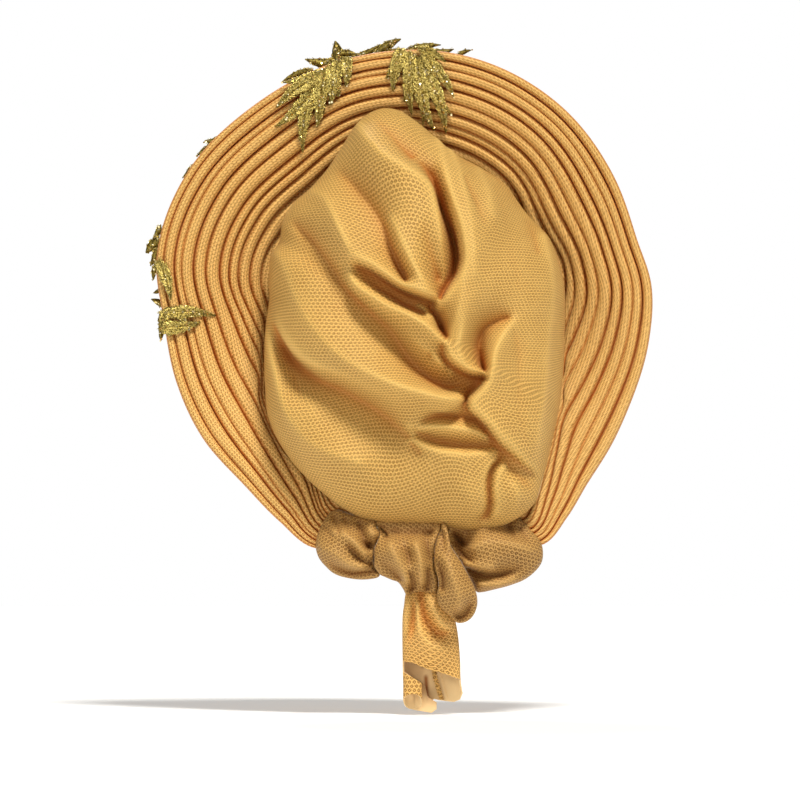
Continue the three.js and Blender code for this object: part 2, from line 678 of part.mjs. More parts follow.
/** Geometry of a solid after its joins. */
function geometryOf(solid) {
  const mesh = solid.getMesh();
  const geometry = new THREE.BufferGeometry();
  geometry.setAttribute('position', new THREE.Float32BufferAttribute(mesh.vertProperties, 3));
  geometry.setIndex(Array.from(mesh.triVerts));
  geometry.computeVertexNormals();
  return geometry;
}

/** One leaf of lace: a thin pointed blade between a middle line and its two edges. */
function leaf(spine, across, outward, wide) {
  const loops = spine.map((p, k) => {
    const t = k / (spine.length - 1);
    const half = Math.max((wide / 2) * Math.sin(Math.PI * (0.12 + 0.84 * t ** 0.8)), 0.5);
    const side = across.clone().multiplyScalar(half);
    const rise = outward.clone().multiplyScalar(LACE_THICK);
    return [
      p.clone().add(side),
      p.clone().add(side).add(rise),
      p.clone().sub(side).add(rise),
      p.clone().sub(side),
    ];
  });
  return skinLoops(loops, [[0, 1, 2], [0, 2, 3]]);
}

/** A blade of lace that lies over the crests of the back of the brim. */
function lyingBlade(base, heading, long, wide) {
  const back = new THREE.Vector3(0, 1, 0);
  const spine = [];
  for (let k = 0; k <= LEAF_CROSSINGS; k += 1) {
    const p = base.clone().addScaledVector(heading, (long * k) / LEAF_CROSSINGS);
    const { angle, radius } = fromBrim(p);
    p.y = crestBack(angle, radius) + LACE_LIFT;
    spine.push(p);
  }
  return solidOf(leaf(spine, heading.clone().cross(back).normalize(), back, wide));
}

/** A sprig of stems with paired leaves, joined to one piece. */
function sprig(stems) {
  const back = new THREE.Vector3(0, 1, 0);
  const blades = [];
  stems.forEach(({ angle, radius, turn, long, pairs, leafLong, leafWide }) => {
    const base = aroundBrim(angle, radius, 0);
    const inward = aroundBrim(angle, 0, 0).sub(base).normalize();
    const heading = inward.applyAxisAngle(back, -turn * DEGREE);
    blades.push(lyingBlade(base, heading, long, STEM_WIDE));
    for (let i = 0; i < pairs; i += 1) {
      const t = (i + 0.25) / (pairs + 0.4);
      const foot = base.clone().addScaledVector(heading, long * t);
      const shrink = 1 - LEAF_SHORTENING * t;
      [-LEAF_SPREAD, LEAF_SPREAD].forEach((spread) => {
        const side = heading.clone().applyAxisAngle(back, spread * DEGREE);
        blades.push(lyingBlade(foot, side, leafLong * shrink, leafWide * shrink));
      });
    }
  });
  return geometryOf(blades.reduce((joined, blade) => joined.add(blade)).simplify(LACE_MERGE));
}

/** A blade of lace on the front of the brim, which lies on the folds and may pass the rim. */
function frontBlade(base, heading, long, wide) {
  const back = new THREE.Vector3(0, 1, 0);
  const spine = [];
  for (let k = 0; k <= LEAF_CROSSINGS; k += 1) {
    const p = base.clone().addScaledVector(heading, (long * k) / LEAF_CROSSINGS);
    const { angle, radius } = fromBrim(p);
    p.y = foldFront(angle, radius) - GARLAND_LIFT - LACE_THICK;
    spine.push(p);
  }
  return solidOf(leaf(spine, heading.clone().cross(back).normalize(), back, wide));
}

/** A garland on the front of the brim: a stem along the rim with leaves to both sides. */
function garland(leaves) {
  const back = new THREE.Vector3(0, 1, 0);
  const onStem = (angle) => aroundBrim(angle, along(BRIM_SECTIONS, 'rim', angle) - GARLAND_INSET, 0);
  const blades = leaves.slice(1).map((next, i) => {
    const way = onStem(next.angle).sub(onStem(leaves[i].angle));
    const heading = way.clone().normalize();
    const start = onStem(leaves[i].angle).addScaledVector(heading, -1);
    return frontBlade(start, heading, way.length() + 2, STEM_WIDE);
  });
  leaves.forEach(({ angle, reach, lean }) => {
    const foot = onStem(angle);
    const outward = foot.clone().sub(aroundBrim(angle, 0, 0)).normalize();
    const heading = outward.applyAxisAngle(back, -lean * DEGREE);
    const rise = (reach + GARLAND_INSET) / Math.cos(lean * DEGREE);
    const start = foot.clone().addScaledVector(heading, -GARLAND_LEAF_LONG);
    blades.push(frontBlade(start, heading, GARLAND_LEAF_LONG + rise, GARLAND_LEAF_WIDE));
  });
  return geometryOf(blades.reduce((joined, blade) => joined.add(blade)).simplify(LACE_MERGE));
}

/** A cloth material in the photographed colour. */
function cloth(colour) {
  return new THREE.MeshStandardMaterial({ color: colour, roughness: 0.75, metalness: 0 });
}

/** A lace material of metallic gold thread. */
function lace(colour) {
  return new THREE.MeshStandardMaterial({ color: colour, roughness: 0.4, metalness: 0.7 });
}

const wrap = new THREE.Group();

/** Adds one named piece to the wrap. */
function addPiece(name, geometry, material) {
  const mesh = new THREE.Mesh(geometry, material);
  mesh.name = name;
  wrap.add(mesh);
}

addPiece('pleated_brim', pleatedBrim(), cloth(0xd8a45c));
addPiece('crown_bag', crownBag(), cloth(0xdcab62));
addPiece('knot_left_lobe', bundle(LEFT_LOBE, [{ turn: 60, depth: 3, wide: 14 }]), cloth(0xd09c56));
addPiece('knot_right_lobe', bundle(RIGHT_LOBE, [{ turn: 120, depth: 3, wide: 14 }]), cloth(0xd09c56));
addPiece('knot_centre_wrap', bundle(CENTRE_WRAP, [{ turn: 70, depth: 2, wide: 12 }]), cloth(0xcc9852));
addPiece('knot_loop', bundle(LOOP, []), cloth(0xd6a35c));
addPiece('tail', tail(), cloth(0xdaa860));
Object.entries(SPRIGS).forEach(([name, stems]) => addPiece(name, sprig(stems), lace(0x9a8444)));
Object.entries(GARLANDS).forEach(([name, leaves]) => addPiece(name, garland(leaves), lace(0x8a7638)));

export default wrap;
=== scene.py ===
"""Looks of a tied gele head wrap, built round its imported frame.

Places are in millimetres until a mesh is made: Z points up, the face side is -Y, and the bag and the knot
are on +Y. Angles about the brim and the bag are in degrees from the top, clockwise as seen from behind. A
place on the plane that is seen from behind is given as right, which is -X, and up, which is Z.
"""

import logging
import math
from dataclasses import dataclass
from enum import Enum
from typing import Any, Sequence

import bpy
import numpy as np
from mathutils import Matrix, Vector


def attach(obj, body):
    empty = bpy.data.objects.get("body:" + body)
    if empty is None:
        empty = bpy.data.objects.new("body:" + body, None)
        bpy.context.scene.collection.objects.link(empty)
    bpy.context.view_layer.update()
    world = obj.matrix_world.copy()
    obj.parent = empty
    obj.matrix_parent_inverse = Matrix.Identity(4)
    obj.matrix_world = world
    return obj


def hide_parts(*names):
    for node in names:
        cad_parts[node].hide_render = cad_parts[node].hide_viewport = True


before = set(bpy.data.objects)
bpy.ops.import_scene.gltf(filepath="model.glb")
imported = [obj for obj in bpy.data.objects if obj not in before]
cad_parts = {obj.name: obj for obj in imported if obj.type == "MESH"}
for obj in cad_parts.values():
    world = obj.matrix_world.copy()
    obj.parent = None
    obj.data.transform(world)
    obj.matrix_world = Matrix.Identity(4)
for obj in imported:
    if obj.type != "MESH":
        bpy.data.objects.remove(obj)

LOG = logging.getLogger("gele")
Array = np.ndarray
Rgb = tuple[float, float, float]
Rgba = tuple[float, float, float, float]
Rows = tuple[tuple[float, ...], ...]
Line = tuple[tuple[float, float, float], ...]
Piece = bpy.types.Object
Material = bpy.types.Material
Socket = bpy.types.NodeSocket

MM = 0.001
DEGREE = math.pi / 180
QUARTER_TURN = math.pi / 2
BODY = "root"

BRIM_CENTRE = (0.0, -77.0)
LEFT_ROWS = (4.8, 6.9, 4.5, 7.9, 7.9, 9.6, 6.1, 6.4, 8.4, 8.3)
RIGHT_ROWS = (6.4, 5.8, 6.7, 6.7, 8.5, 7.9, 8.0, 5.8, 8.3, 6.4)
FRONT_ROWS = 4
LEFT_VALLEYS = (1, 0.6, 1, 0.45, 1, 0.8, 1, 0.9, *(1,) * 7)
RIGHT_VALLEYS = (1, 1, 0.42, 1, 0.95, 0.45, 1, 0.5, *(1,) * 7)
LEFT_TO_RIGHT = (-12, 18)
PLEAT_DEPTH_LEAST = 1.4
PLEAT_DEPTH_SHARE = 1.05
PLEAT_DEPTH_MOST = 9.0
PLEAT_WALL_SHARE = 0.34
BRIM_WALL_THINNEST = 1.0
BRIM_WALL_THICKEST = 1.8


class Slot(Enum):
    """Material slots of the record."""

    PLEATS = "pleat_cloth"
    BAG = "bag_cloth"
    KNOT = "knot_cloth"
    TAIL = "tail_cloth"
    LACE = "gold_lace"


class Held(Enum):
    """Ways in which a sheet of cloth is held."""

    FOLDED = "folded"
    GATHERED = "gathered"


def ease(x: Array, low: float, high: float) -> Array:
    """Goes smoothly from 0 to 1 as x goes from low to high."""
    t = np.clip((x - low) / (high - low), 0, 1)
    return t * t * (3 - 2 * t)


def mix(a: Array, b: Array, t: Array) -> Array:
    """Value between a and b at share t."""
    return a + (b - a) * t


def unit(vectors: Array) -> Array:
    """Vectors scaled to length 1 along their last axis."""
    return vectors / np.maximum(np.linalg.norm(vectors, axis=-1, keepdims=True), 1e-9)


def run_of(points: Array, axis: int = 0) -> Array:
    """Length of the way from the first point to each one along an axis.

    Args:
        points: Places along the last axis.
        axis: Axis that the way follows.

    Returns:
        Lengths, the first of them 0.
    """
    steps = np.linalg.norm(np.diff(points, axis=axis), axis=-1)
    start = np.zeros_like(steps.take([0], axis=axis))
    return np.concatenate([start, np.cumsum(steps, axis=axis)], axis=axis)


def closed(columns: Array) -> Array:
    """Columns with the first one repeated at the end."""
    return np.concatenate([columns, columns[:, :1]], axis=1)


def layered(*values: Any) -> Array:
    """Values stacked along a new last axis, each spread to the shape of all."""
    return np.stack(np.broadcast_arrays(*values), axis=-1)


def on_plane(angle: Array, radius: Array, back: Array, centre: Sequence[float] = BRIM_CENTRE) -> Array:
    """Points of space by angle and radius about a centre on the plane seen from behind.

    Args:
        angle: Angles in degrees.
        radius: Distances from the centre.
        back: Places along Y.
        centre: Right and up of the centre, which is the middle of the brim if none is given.

    Returns:
        Points.
    """
    turn = angle * DEGREE
    return layered(-(centre[0] + radius * np.sin(turn)), back, centre[1] + radius * np.cos(turn))


def from_brim(points: Array) -> tuple[Array, Array]:
    """Angle in degrees and radius of points of space about the middle of the brim."""
    x, up = points[..., 0], points[..., 2] - BRIM_CENTRE[1]
    return np.degrees(np.arctan2(-x, up)), np.hypot(x, up)


def outward(points: Array) -> Array:
    """Outward directions of closed rings of points, in rows of rings."""
    round_way = np.roll(points, -1, axis=1) - np.roll(points, 1, axis=1)
    return unit(np.cross(round_way, np.gradient(points, axis=0)))


def turned_back(directions: Array, share: float) -> Array:
    """Directions turned by a share towards +Y, so that folds stand where they are seen from behind."""
    return unit(mix(directions, np.array([0.0, 1.0, 0.0]), share))


def smooth_line(points: Sequence[Sequence[float]], parts: int) -> Array:
    """Rounds a line through its points.

    Args:
        points: Rows of the line's columns, such as x, y, z.
        parts: Steps that each stretch is cut into.

    Returns:
        Rows of the rounded line, with the first and last kept.
    """
    p = np.asarray(points, float)
    wide = np.vstack([2 * p[0] - p[1], p, 2 * p[-1] - p[-2]])
    t = np.linspace(0, 1, parts, endpoint=False)[:, None]
    rows = []
    for a, b, c, d in zip(wide[:-3], wide[1:-2], wide[2:-1], wide[3:]):
        bend = (2 * a - 5 * b + 4 * c - d) * t**2 + (3 * b - a - 3 * c + d) * t**3
        rows.append(0.5 * (2 * b + (c - a) * t + bend))
    return np.vstack([*rows, p[-1:]])


class Table:
    """Named columns against rising angles, read smoothly between the rows."""

    def __init__(self, names: str, rows: Sequence[Sequence[float]]) -> None:
        """Keeps the columns by name, the first of them angle."""
        self.columns = dict(zip(names.split(), np.array(rows, float).T))

    def at(self, name: str, angles: Array) -> Array:
        """Reads one column.

        Args:
            name: The column.
            angles: Angles in degrees, held within the table's own.

        Returns:
            One value for each angle.
        """
        x, y = self.columns["angle"], self.columns[name]
        a = np.clip(angles, x[0], x[-1])
        i = np.clip(np.searchsorted(x, a) - 1, 0, len(x) - 2)
        before, after = np.maximum(i - 1, 0), np.minimum(i + 2, len(x) - 1)
        span = x[i + 1] - x[i]
        t = (a - x[i]) / span
        slope_a = (y[i + 1] - y[before]) / (x[i + 1] - x[before]) * span
        slope_b = (y[after] - y[i]) / (x[after] - x[i]) * span
        ends = (2 * t**3 - 3 * t**2 + 1) * y[i] + (3 * t**2 - 2 * t**3) * y[i + 1]
        return ends + (t**3 - 2 * t**2 + t) * slope_a + (t**3 - t**2) * slope_b


BRIM_COLUMNS = "angle rim inner rim_back inner_back spread shown"
BRIM_ROWS = (
    (-157, 156, 119, 72, 50, 0.45, 32), (-148, 151, 114, 65, 42, 0.74, 34),
    (-135, 147, 106, 46, 22, 0.98, 35), (-120, 150, 97, 25, -4, 1.27, 46), (-105, 152, 88, 12, -24, 1.22, 57),
    (-90, 155, 80, 5, -42, 1.08, 66), (-75, 165, 74, 3, -56, 1.0, 74), (-55, 169, 64, 4, -68, 1.0, 70),
    (-35, 168.5, 57, 6, -74, 1.0, 66), (-12, 171.5, 54, 8, -77, 0.88, 64), (12, 173.4, 54, 8, -77, 0.91, 64),
    (35, 169.5, 57, 6, -74, 0.92, 65), (55, 162, 64, 4, -68, 1.0, 60), (70, 156.8, 72, 3, -59, 0.9, 52),
    (82, 158.7, 77, 4, -50, 1.0, 53), (95, 156, 83, 7, -37, 1.14, 54), (110, 153, 91, 15, -16, 1.28, 46),
    (122, 153.5, 98, 28, 0, 1.36, 38), (132, 155.5, 106, 42, 16, 1.05, 29), (141, 162, 115, 58, 34, 0.76, 24),
    (148, 167, 126, 70, 46, 0.5, 24),
)
GATHERED_ENDS = (
    (-168, 141, 119, 58, 46, 0.26, 22), (-163, 151, 120, 68, 49, 0.33, 28), (153, 161, 129, 66, 47, 0.38, 24),
    (159, 149, 130, 56, 45, 0.24, 18),
)
BELOW_KNOT = (161, 122, 71, 48, 0.47, 28)
BRIM_SECTIONS = Table(BRIM_COLUMNS, ((-180, *BELOW_KNOT), *BRIM_ROWS, (180, *BELOW_KNOT)))
GATHERED_SECTIONS = Table(BRIM_COLUMNS, sorted((*BRIM_ROWS, *GATHERED_ENDS)))
BAG_ROWS = (
    (-197, 132, 6), (-180, 124.5, 6), (-160, 127, 6), (-145, 123.5, 6), (-130, 120.5, 7), (-118, 117, 8),
    (-109, 111.4, 9), (-98, 107, 10), (-86, 104.8, 11), (-79, 104.8, 12), (-73, 107.6, 12), (-65, 112.4, 12),
    (-59.5, 111.6, 12), (-54, 116.8, 11), (-48, 119, 11), (-41, 118.4, 10), (-33, 121.6, 9), (-26, 129.3, 8),
    (-20, 139, 8), (-14.5, 144.2, 8), (-9, 142.4, 8), (-2.3, 130.4, 8), (1.5, 123, 8), (8, 113.6, 8),
    (17.7, 108.4, 8), (27.3, 104.3, 9), (37, 97.8, 9), (44, 96, 9), (52, 96.3, 9), (60, 94, 9), (70, 90.8, 9),
    (90, 86, 9), (110, 90, 8), (130, 102.5, 7), (142, 116.5, 6), (150, 129, 6), (163, 132, 6),
    (180, 124.5, 6), (200, 127, 6),
)
BAG_OUTLINE = Table("angle radius lift", BAG_ROWS)


def left_to_right(left: Sequence[float], right: Sequence[float], angles: Array) -> Array:
    """Values of the left side blended into those of the right one over the top of the brim.

    Args:
        left: Values at the left, one for each row of pleats.
        right: Values at the right.
        angles: Angles in degrees.

    Returns:
        Values by angle and row.
    """
    return mix(np.array(left), np.array(right), ease(angles, *LEFT_TO_RIGHT)[:, None])


def pleat_depth(width: Array) -> Array:
    """Depth of a pleat from its crest to its valleys."""
    return np.minimum(PLEAT_DEPTH_LEAST + PLEAT_DEPTH_SHARE * width, PLEAT_DEPTH_MOST)


class BrimLines:
    """Quarter-ellipse lines that the pleats follow from the rim forward to the face, one for each angle."""

    steps = 60
    slope_step = 0.5
    last_shown = (-2, 8)

    def __init__(self, angles: Array, sections: Table = BRIM_SECTIONS) -> None:
        """Lays out the lines.

        Args:
            angles: Angles in degrees.
            sections: Sections of the brim.
        """
        self.angles = np.asarray(angles, float)
        self.sections = sections
        self.rim, self.inner, self.rim_back, self.inner_back = (
            sections.at(name, self.angles)[:, None] for name in ("rim", "inner", "rim_back", "inner_back")
        )
        self.turns = np.linspace(0, QUARTER_TURN, self.steps + 1)
        self.lengths = run_of(self.place(np.tile(self.turns, (len(self.angles), 1))), axis=1)
        self.total = self.lengths[:, -1]

    def place(self, turns: Array) -> Array:
        """Radius and back at turns of the ellipse, line by line."""
        radius = self.rim - (self.rim - self.inner) * np.sin(turns)
        return layered(radius, self.rim_back - (self.rim_back - self.inner_back) * (1 - np.cos(turns)))

    def point(self, lengths: Array) -> Array:
        """Radius and back at distances from the rim along each line."""
        known = zip(lengths, self.lengths)
        return self.place(np.stack([np.interp(wanted, run, self.turns) for wanted, run in known]))

    def normal(self, lengths: Array) -> Array:
        """Direction square to each line, towards the back and the middle of the brim.

        Args:
            lengths: Distances from the rim, line by line.

        Returns:
            Shares of radius and back.
        """
        ahead = self.point(np.minimum(lengths + self.slope_step, self.total[:, None]))
        slope = unit(ahead - self.point(np.maximum(lengths - self.slope_step, 0)))
        return np.stack([slope[..., 1], -slope[..., 0]], axis=-1)

    def length_at(self, radius: Array) -> Array:
        """Distance from the rim at which each line reaches its radius.

        Args:
            radius: One radius for each line.

        Returns:
            One distance for each line.
        """
        share = np.clip((self.rim[:, 0] - radius) / (self.rim - self.inner)[:, 0], 0, 1)
        turns = np.arcsin(share)
        return np.array([np.interp(turn, self.turns, known) for turn, known in zip(turns, self.lengths)])

    def valleys(self) -> Array:
        """Lays out the valleys between the rows of pleats, those at the back first.

        Returns:
            Distances from the rim by line and valley.
        """
        spread, shown = (self.sections.at(name, self.angles)[:, None] for name in ("spread", "shown"))
        widths = spread * left_to_right(LEFT_ROWS, RIGHT_ROWS, self.angles)
        weights = 1 - ease(np.cumsum(widths, axis=1) - shown, *self.last_shown)
        front = np.zeros((len(widths), FRONT_ROWS))
        widths, weights = np.hstack([widths, front]), np.hstack([weights, front])
        used = (widths * weights).sum(axis=1)
        hidden = ((self.total - used) / (1 - weights).sum(axis=1))[:, None]
        rows = np.cumsum(widths * weights + hidden * (1 - weights), axis=1)
        return np.hstack([np.zeros((len(rows), 1)), rows])


def within(x: Array, y: Array, corners: Array) -> Array:
    """Tells which places lie inside a closed outline.

    Args:
        x: First numbers of the places.
        y: Second numbers of the places.
        corners: Corners of the outline, in order.

    Returns:
        True for each place inside.
    """
    inside = np.zeros(x.shape, dtype=bool)
    for (ax, ay), (bx, by) in zip(corners, np.roll(corners, -1, axis=0)):
        if ay != by:
            spans = (ay > y) != (by > y)
            inside ^= spans & (x < ax + (bx - ax) * (y - ay) / (by - ay))
    return inside


def blurred(layer: Array, width: float) -> Array:
    """Smooths a layer.

    Args:
        layer: Rows and columns of cells.
        width: Width of the blur in cells.

    Returns:
        The smooth layer.
    """
    rows, columns = (np.fft.fftfreq(n) for n in layer.shape)
    pass_band = np.exp(-2 * (math.pi * width) ** 2 * (rows[:, None] ** 2 + columns[None, :] ** 2))
    return np.fft.ifft2(np.fft.fft2(layer) * pass_band).real


class Terrain:
    """Relief of cloth seen flat: taut between lines of known height, with round crests and sharp creases.

    One of its layers is painted shading: painted shade that rises to 1 in the creases, and painted highlight
    that falls to -1 on the crests. Each row of the blurs for painted shade and for painted highlight gives a
    blur's width, the height that counts as full, and a strength.
    """

    cell = 0.8
    margin = 14
    line_parts = 24
    crest_width = 1.0
    crease_width = 0.5
    # Blurs that paint shade into creases and highlight onto crests: width, full height and strength.
    painted_shade_blurs = ((1.5, 2.2, 0.55), (4.5, 9.0, 0.6), (11.0, 26.0, 0.5))
    painted_highlight_blurs = ((1.5, 1.0, 0.6), (4.0, 3.5, 0.6))
    floor_reach = 5
    floor_blur = 2
    smallest_grid = 40
    coarse_rounds = 400
    fine_rounds = 60

    def __init__(self, outline: Array, lines: Sequence[Line]) -> None:
        """Works out the heights.

        Args:
            outline: Corners of the cloth's edge, where the height is 0.
            lines: Lines of right, up and height inside it.
        """
        self.low = outline.min(axis=0) - self.margin * self.cell
        counts = np.ceil((outline.max(axis=0) - self.low) / self.cell).astype(int) + self.margin
        x, y = np.meshgrid(*(low + np.arange(count) * self.cell for low, count in zip(self.low, counts)))
        known = ~within(x, y, outline)
        height = np.zeros(x.shape)
        for line in lines:
            dense = smooth_line(line, self.line_parts)
            column, row = np.rint((dense[:, :2] - self.low) / self.cell).astype(int).T
            height[row, column] = dense[:, 2]
            known[row, column] = True
        taut = self.taut(height, known)
        self.height = np.minimum(self.smooth(taut, self.crest_width), self.smooth(taut, self.crease_width))
        # Painted shade in the creases, then painted highlight on the crests.
        open_share = 1.0
        for width, depth, strength in self.painted_shade_blurs:
            below = self.smooth(self.height, width) - self.height
            open_share = open_share * (1 - strength * np.clip(below / depth, 0, 1))
        self.painted_shading_layer = 1 - open_share
        for width, rise, strength in self.painted_highlight_blurs:
            above = self.height - self.smooth(self.height, width)
            self.painted_shading_layer = self.painted_shading_layer - strength * np.clip(above / rise, 0, 1)
        lowest = self.height
        reach = range(-self.floor_reach, self.floor_reach + 1)
        for axis in (0, 1):
            lowest = np.min([np.roll(lowest, step, axis=axis) for step in reach], axis=0)
        self.floor = np.minimum(blurred(lowest, self.floor_blur), self.height)

    def smooth(self, layer: Array, width: float) -> Array:
        """Layer smoothed over a width in millimetres."""
        return blurred(layer, width / self.cell)

    @classmethod
    def taut(cls, height: Array, known: Array) -> Array:
        """Draws the cloth taut between the known heights, from a coarse grid to a fine one.

        Args:
            height: Known heights.
            known: True where a height is known.

        Returns:
            Heights everywhere.
        """
        rounds = cls.coarse_rounds
        if min(height.shape) > cls.smallest_grid:
            spare = [(0, n % 2) for n in height.shape]
            full, mask = np.pad(height, spare), np.pad(known, spare, constant_values=True)
            blocks = (full.shape[0] // 2, 2, full.shape[1] // 2, 2)
            count = mask.reshape(blocks).sum(axis=(1, 3))
            mean = (full * mask).reshape(blocks).sum(axis=(1, 3)) / np.maximum(count, 1)
            start = np.kron(cls.taut(mean, count > 0), np.ones((2, 2)))
            height = np.where(known, height, start[: height.shape[0], : height.shape[1]])
            rounds = cls.fine_rounds
        for _ in range(rounds):
            wide = np.pad(height, 1, mode="edge")
            mean = (wide[:-2, 1:-1] + wide[2:, 1:-1] + wide[1:-1, :-2] + wide[1:-1, 2:]) / 4
            height = np.where(known, height, mean)
        return height

    def read(self, layer: Array, points: Array) -> Array:
        """Reads a layer of the relief.

        Args:
            layer: The layer.
            points: Points of space, taken as they are seen from behind.

        Returns:
            One value for each point.
        """
        rows, columns = layer.shape
        u = np.clip((-points[..., 0] - self.low[0]) / self.cell, 0, columns - 1.001)
        v = np.clip((points[..., 2] - self.low[1]) / self.cell, 0, rows - 1.001)
        i, j = v.astype(int), u.astype(int)
        s, t = v - i, u - j
        near, far = (layer[k, j] * (1 - t) + layer[k, j + 1] * t for k in (i, i + 1))
        return near * (1 - s) + far * s


class Shell:
    """Points, faces and their UVs, gathered from several sheets into one mesh."""

    def __init__(self) -> None:
        """Starts with nothing."""
        self.points: list[Array] = []
        self.faces: list[Array] = []
        self.corners: list[Array] = []
        self.slots: list[Array] = []
        self.values: dict[str, list[Array]] = {}
        self.count = 0

    def scatter(self, points: Array, **values: Array) -> Array:
        """Adds points.

        Args:
            points: Places along the last axis.
            values: Named values of the points, each a number or a vector.

        Returns:
            Index of each point, in the same rows and columns.
        """
        shape = points.shape[:-1]
        total = int(np.prod(shape))
        index = self.count + np.arange(total).reshape(shape)
        self.count += total
        self.points.append(points.reshape(-1, 3))
        for name, value in values.items():
            full = np.broadcast_to(value, (*shape, *np.shape(value)[len(shape) :]))
            self.values.setdefault(name, []).append(full.reshape(total, -1))
        return index

    def patch(self, faces: Array, uv: Array | None = None, slot: int = 0) -> None:
        """Adds faces.

        Args:
            faces: Indexes of the corners of each face.
            uv: Place in the cloth, in metres, of each corner, or None for faces that show no figures.
            slot: Material slot of the faces.
        """
        self.faces.append(faces)
        self.corners.append(np.zeros((*faces.shape, 2)) if uv is None else uv)
        self.slots.append(np.full(len(faces), slot))

    def weave(self, index: Array, uv: Array | None = None, slot: int = 0) -> None:
        """Joins rows and columns of points with quads.

        Args:
            index: Index of each point.
            uv: Place in the cloth of each point, or None.
            slot: Material slot of the faces.
        """
        quads, places = (
            None if a is None else np.stack([a[:-1, :-1], a[:-1, 1:], a[1:, 1:], a[1:, :-1]], axis=2)
            for a in (index, uv)
        )
        self.patch(quads.reshape(-1, 4), None if uv is None else places.reshape(-1, 4, 2), slot)

    def fan(self, centre: int, ring: Array, centre_uv: Array, ring_uv: Array, slot: int = 0) -> None:
        """Joins a ring of points to one at its centre with triangles.

        Args:
            centre: Index of the middle point.
            ring: Indexes round it, the first one repeated at the end.
            centre_uv: Place in the cloth of the middle point.
            ring_uv: Places in the cloth of the ring.
            slot: Material slot of the faces.
        """
        middle = np.full(len(ring) - 1, centre)
        middle_uv = np.broadcast_to(centre_uv, (len(middle), 2))
        faces, uv = (middle, ring[:-1], ring[1:]), (middle_uv, ring_uv[:-1], ring_uv[1:])
        self.patch(np.stack(faces, axis=1), np.stack(uv, axis=1), slot)

    def cap(self, index: Array) -> None:
        """Closes both ends of a tube of points, each with one face."""
        for end, turn in ((0, -1), (-1, 1)):
            self.patch(index[end][::turn][None, :])

    def volume(self, points: Array) -> float:
        """Adds up the signed volume inside the faces.

        Args:
            points: Places of all points.

        Returns:
            The volume, less than 0 where the faces are turned in.
        """
        total = 0.0
        for faces in self.faces:
            corners = [points[faces[:, k]] for k in range(faces.shape[1])]
            for b, c in zip(corners[1:-1], corners[2:]):
                total += np.einsum("ij,ij->i", corners[0], np.cross(b, c)).sum()
        return total / 6

    def piece(self, name: str, materials: Sequence[Material]) -> Piece:
        """Makes the mesh, with its faces turned out, and its object.

        Args:
            name: Name of both.
            materials: Materials in the order of the slots.

        Returns:
            The object, at the origin, linked to the scene.
        """
        points = np.vstack(self.points)
        turn = -1 if self.volume(points) < 0 else 1
        faces = [face[::turn] for block in self.faces for face in block.tolist()]
        uvs = np.vstack([block[:, ::turn].reshape(-1, 2) for block in self.corners])
        mesh = bpy.data.meshes.new(name)
        mesh.from_pydata(points * MM, [], faces)
        mesh.uv_layers.new(name="UVMap").uv.foreach_set("vector", uvs.ravel().astype(np.float32))
        mesh.polygons.foreach_set("material_index", np.concatenate(self.slots).astype(np.int32))
        mesh.polygons.foreach_set("use_smooth", np.ones(len(faces), dtype=bool))
        give_values(mesh, self.values)
        for material in materials:
            mesh.materials.append(material)
        mesh.update()
        return linked(bpy.data.objects.new(name, mesh))


def give_values(mesh: bpy.types.Mesh, values: dict[str, list[Array]]) -> None:
    """Gives the points of a mesh their named values.

    Args:
        mesh: The mesh.
        values: Blocks of rows for each name, each row a number or a vector.
    """
    for key, blocks in values.items():
        rows = np.vstack(blocks).astype(np.float32)
        kind, target = ("FLOAT_VECTOR", "vector") if rows.shape[1] == 3 else ("FLOAT", "value")
        mesh.attributes.new(key, kind, "POINT").data.foreach_set(target, rows.ravel())


def linked(piece: Piece) -> Piece:
    """Links an object to the scene and returns it."""
    bpy.context.scene.collection.objects.link(piece)
    return piece


def wired(name: str, lines: Sequence[Array], **values: Sequence[Array]) -> Piece:
    """Makes a mesh of bare lines for a node tree to grow on.

    Args:
        name: Name of the object.
        lines: Points of each line, in millimetres.
        values: Named vectors or numbers of the points, one block for each line.

    Returns:
        The object.
    """
    edges, at = [], 0
    for line in lines:
        edges += [(at + i, at + i + 1) for i in range(len(line) - 1)]
        at += len(line)
    mesh = bpy.data.meshes.new(name)
    mesh.from_pydata(np.vstack(lines) * MM, edges, [])
    give_values(mesh, {key: [np.reshape(b, (len(b), -1)) for b in blocks] for key, blocks in values.items()})
    return linked(bpy.data.objects.new(name, mesh))


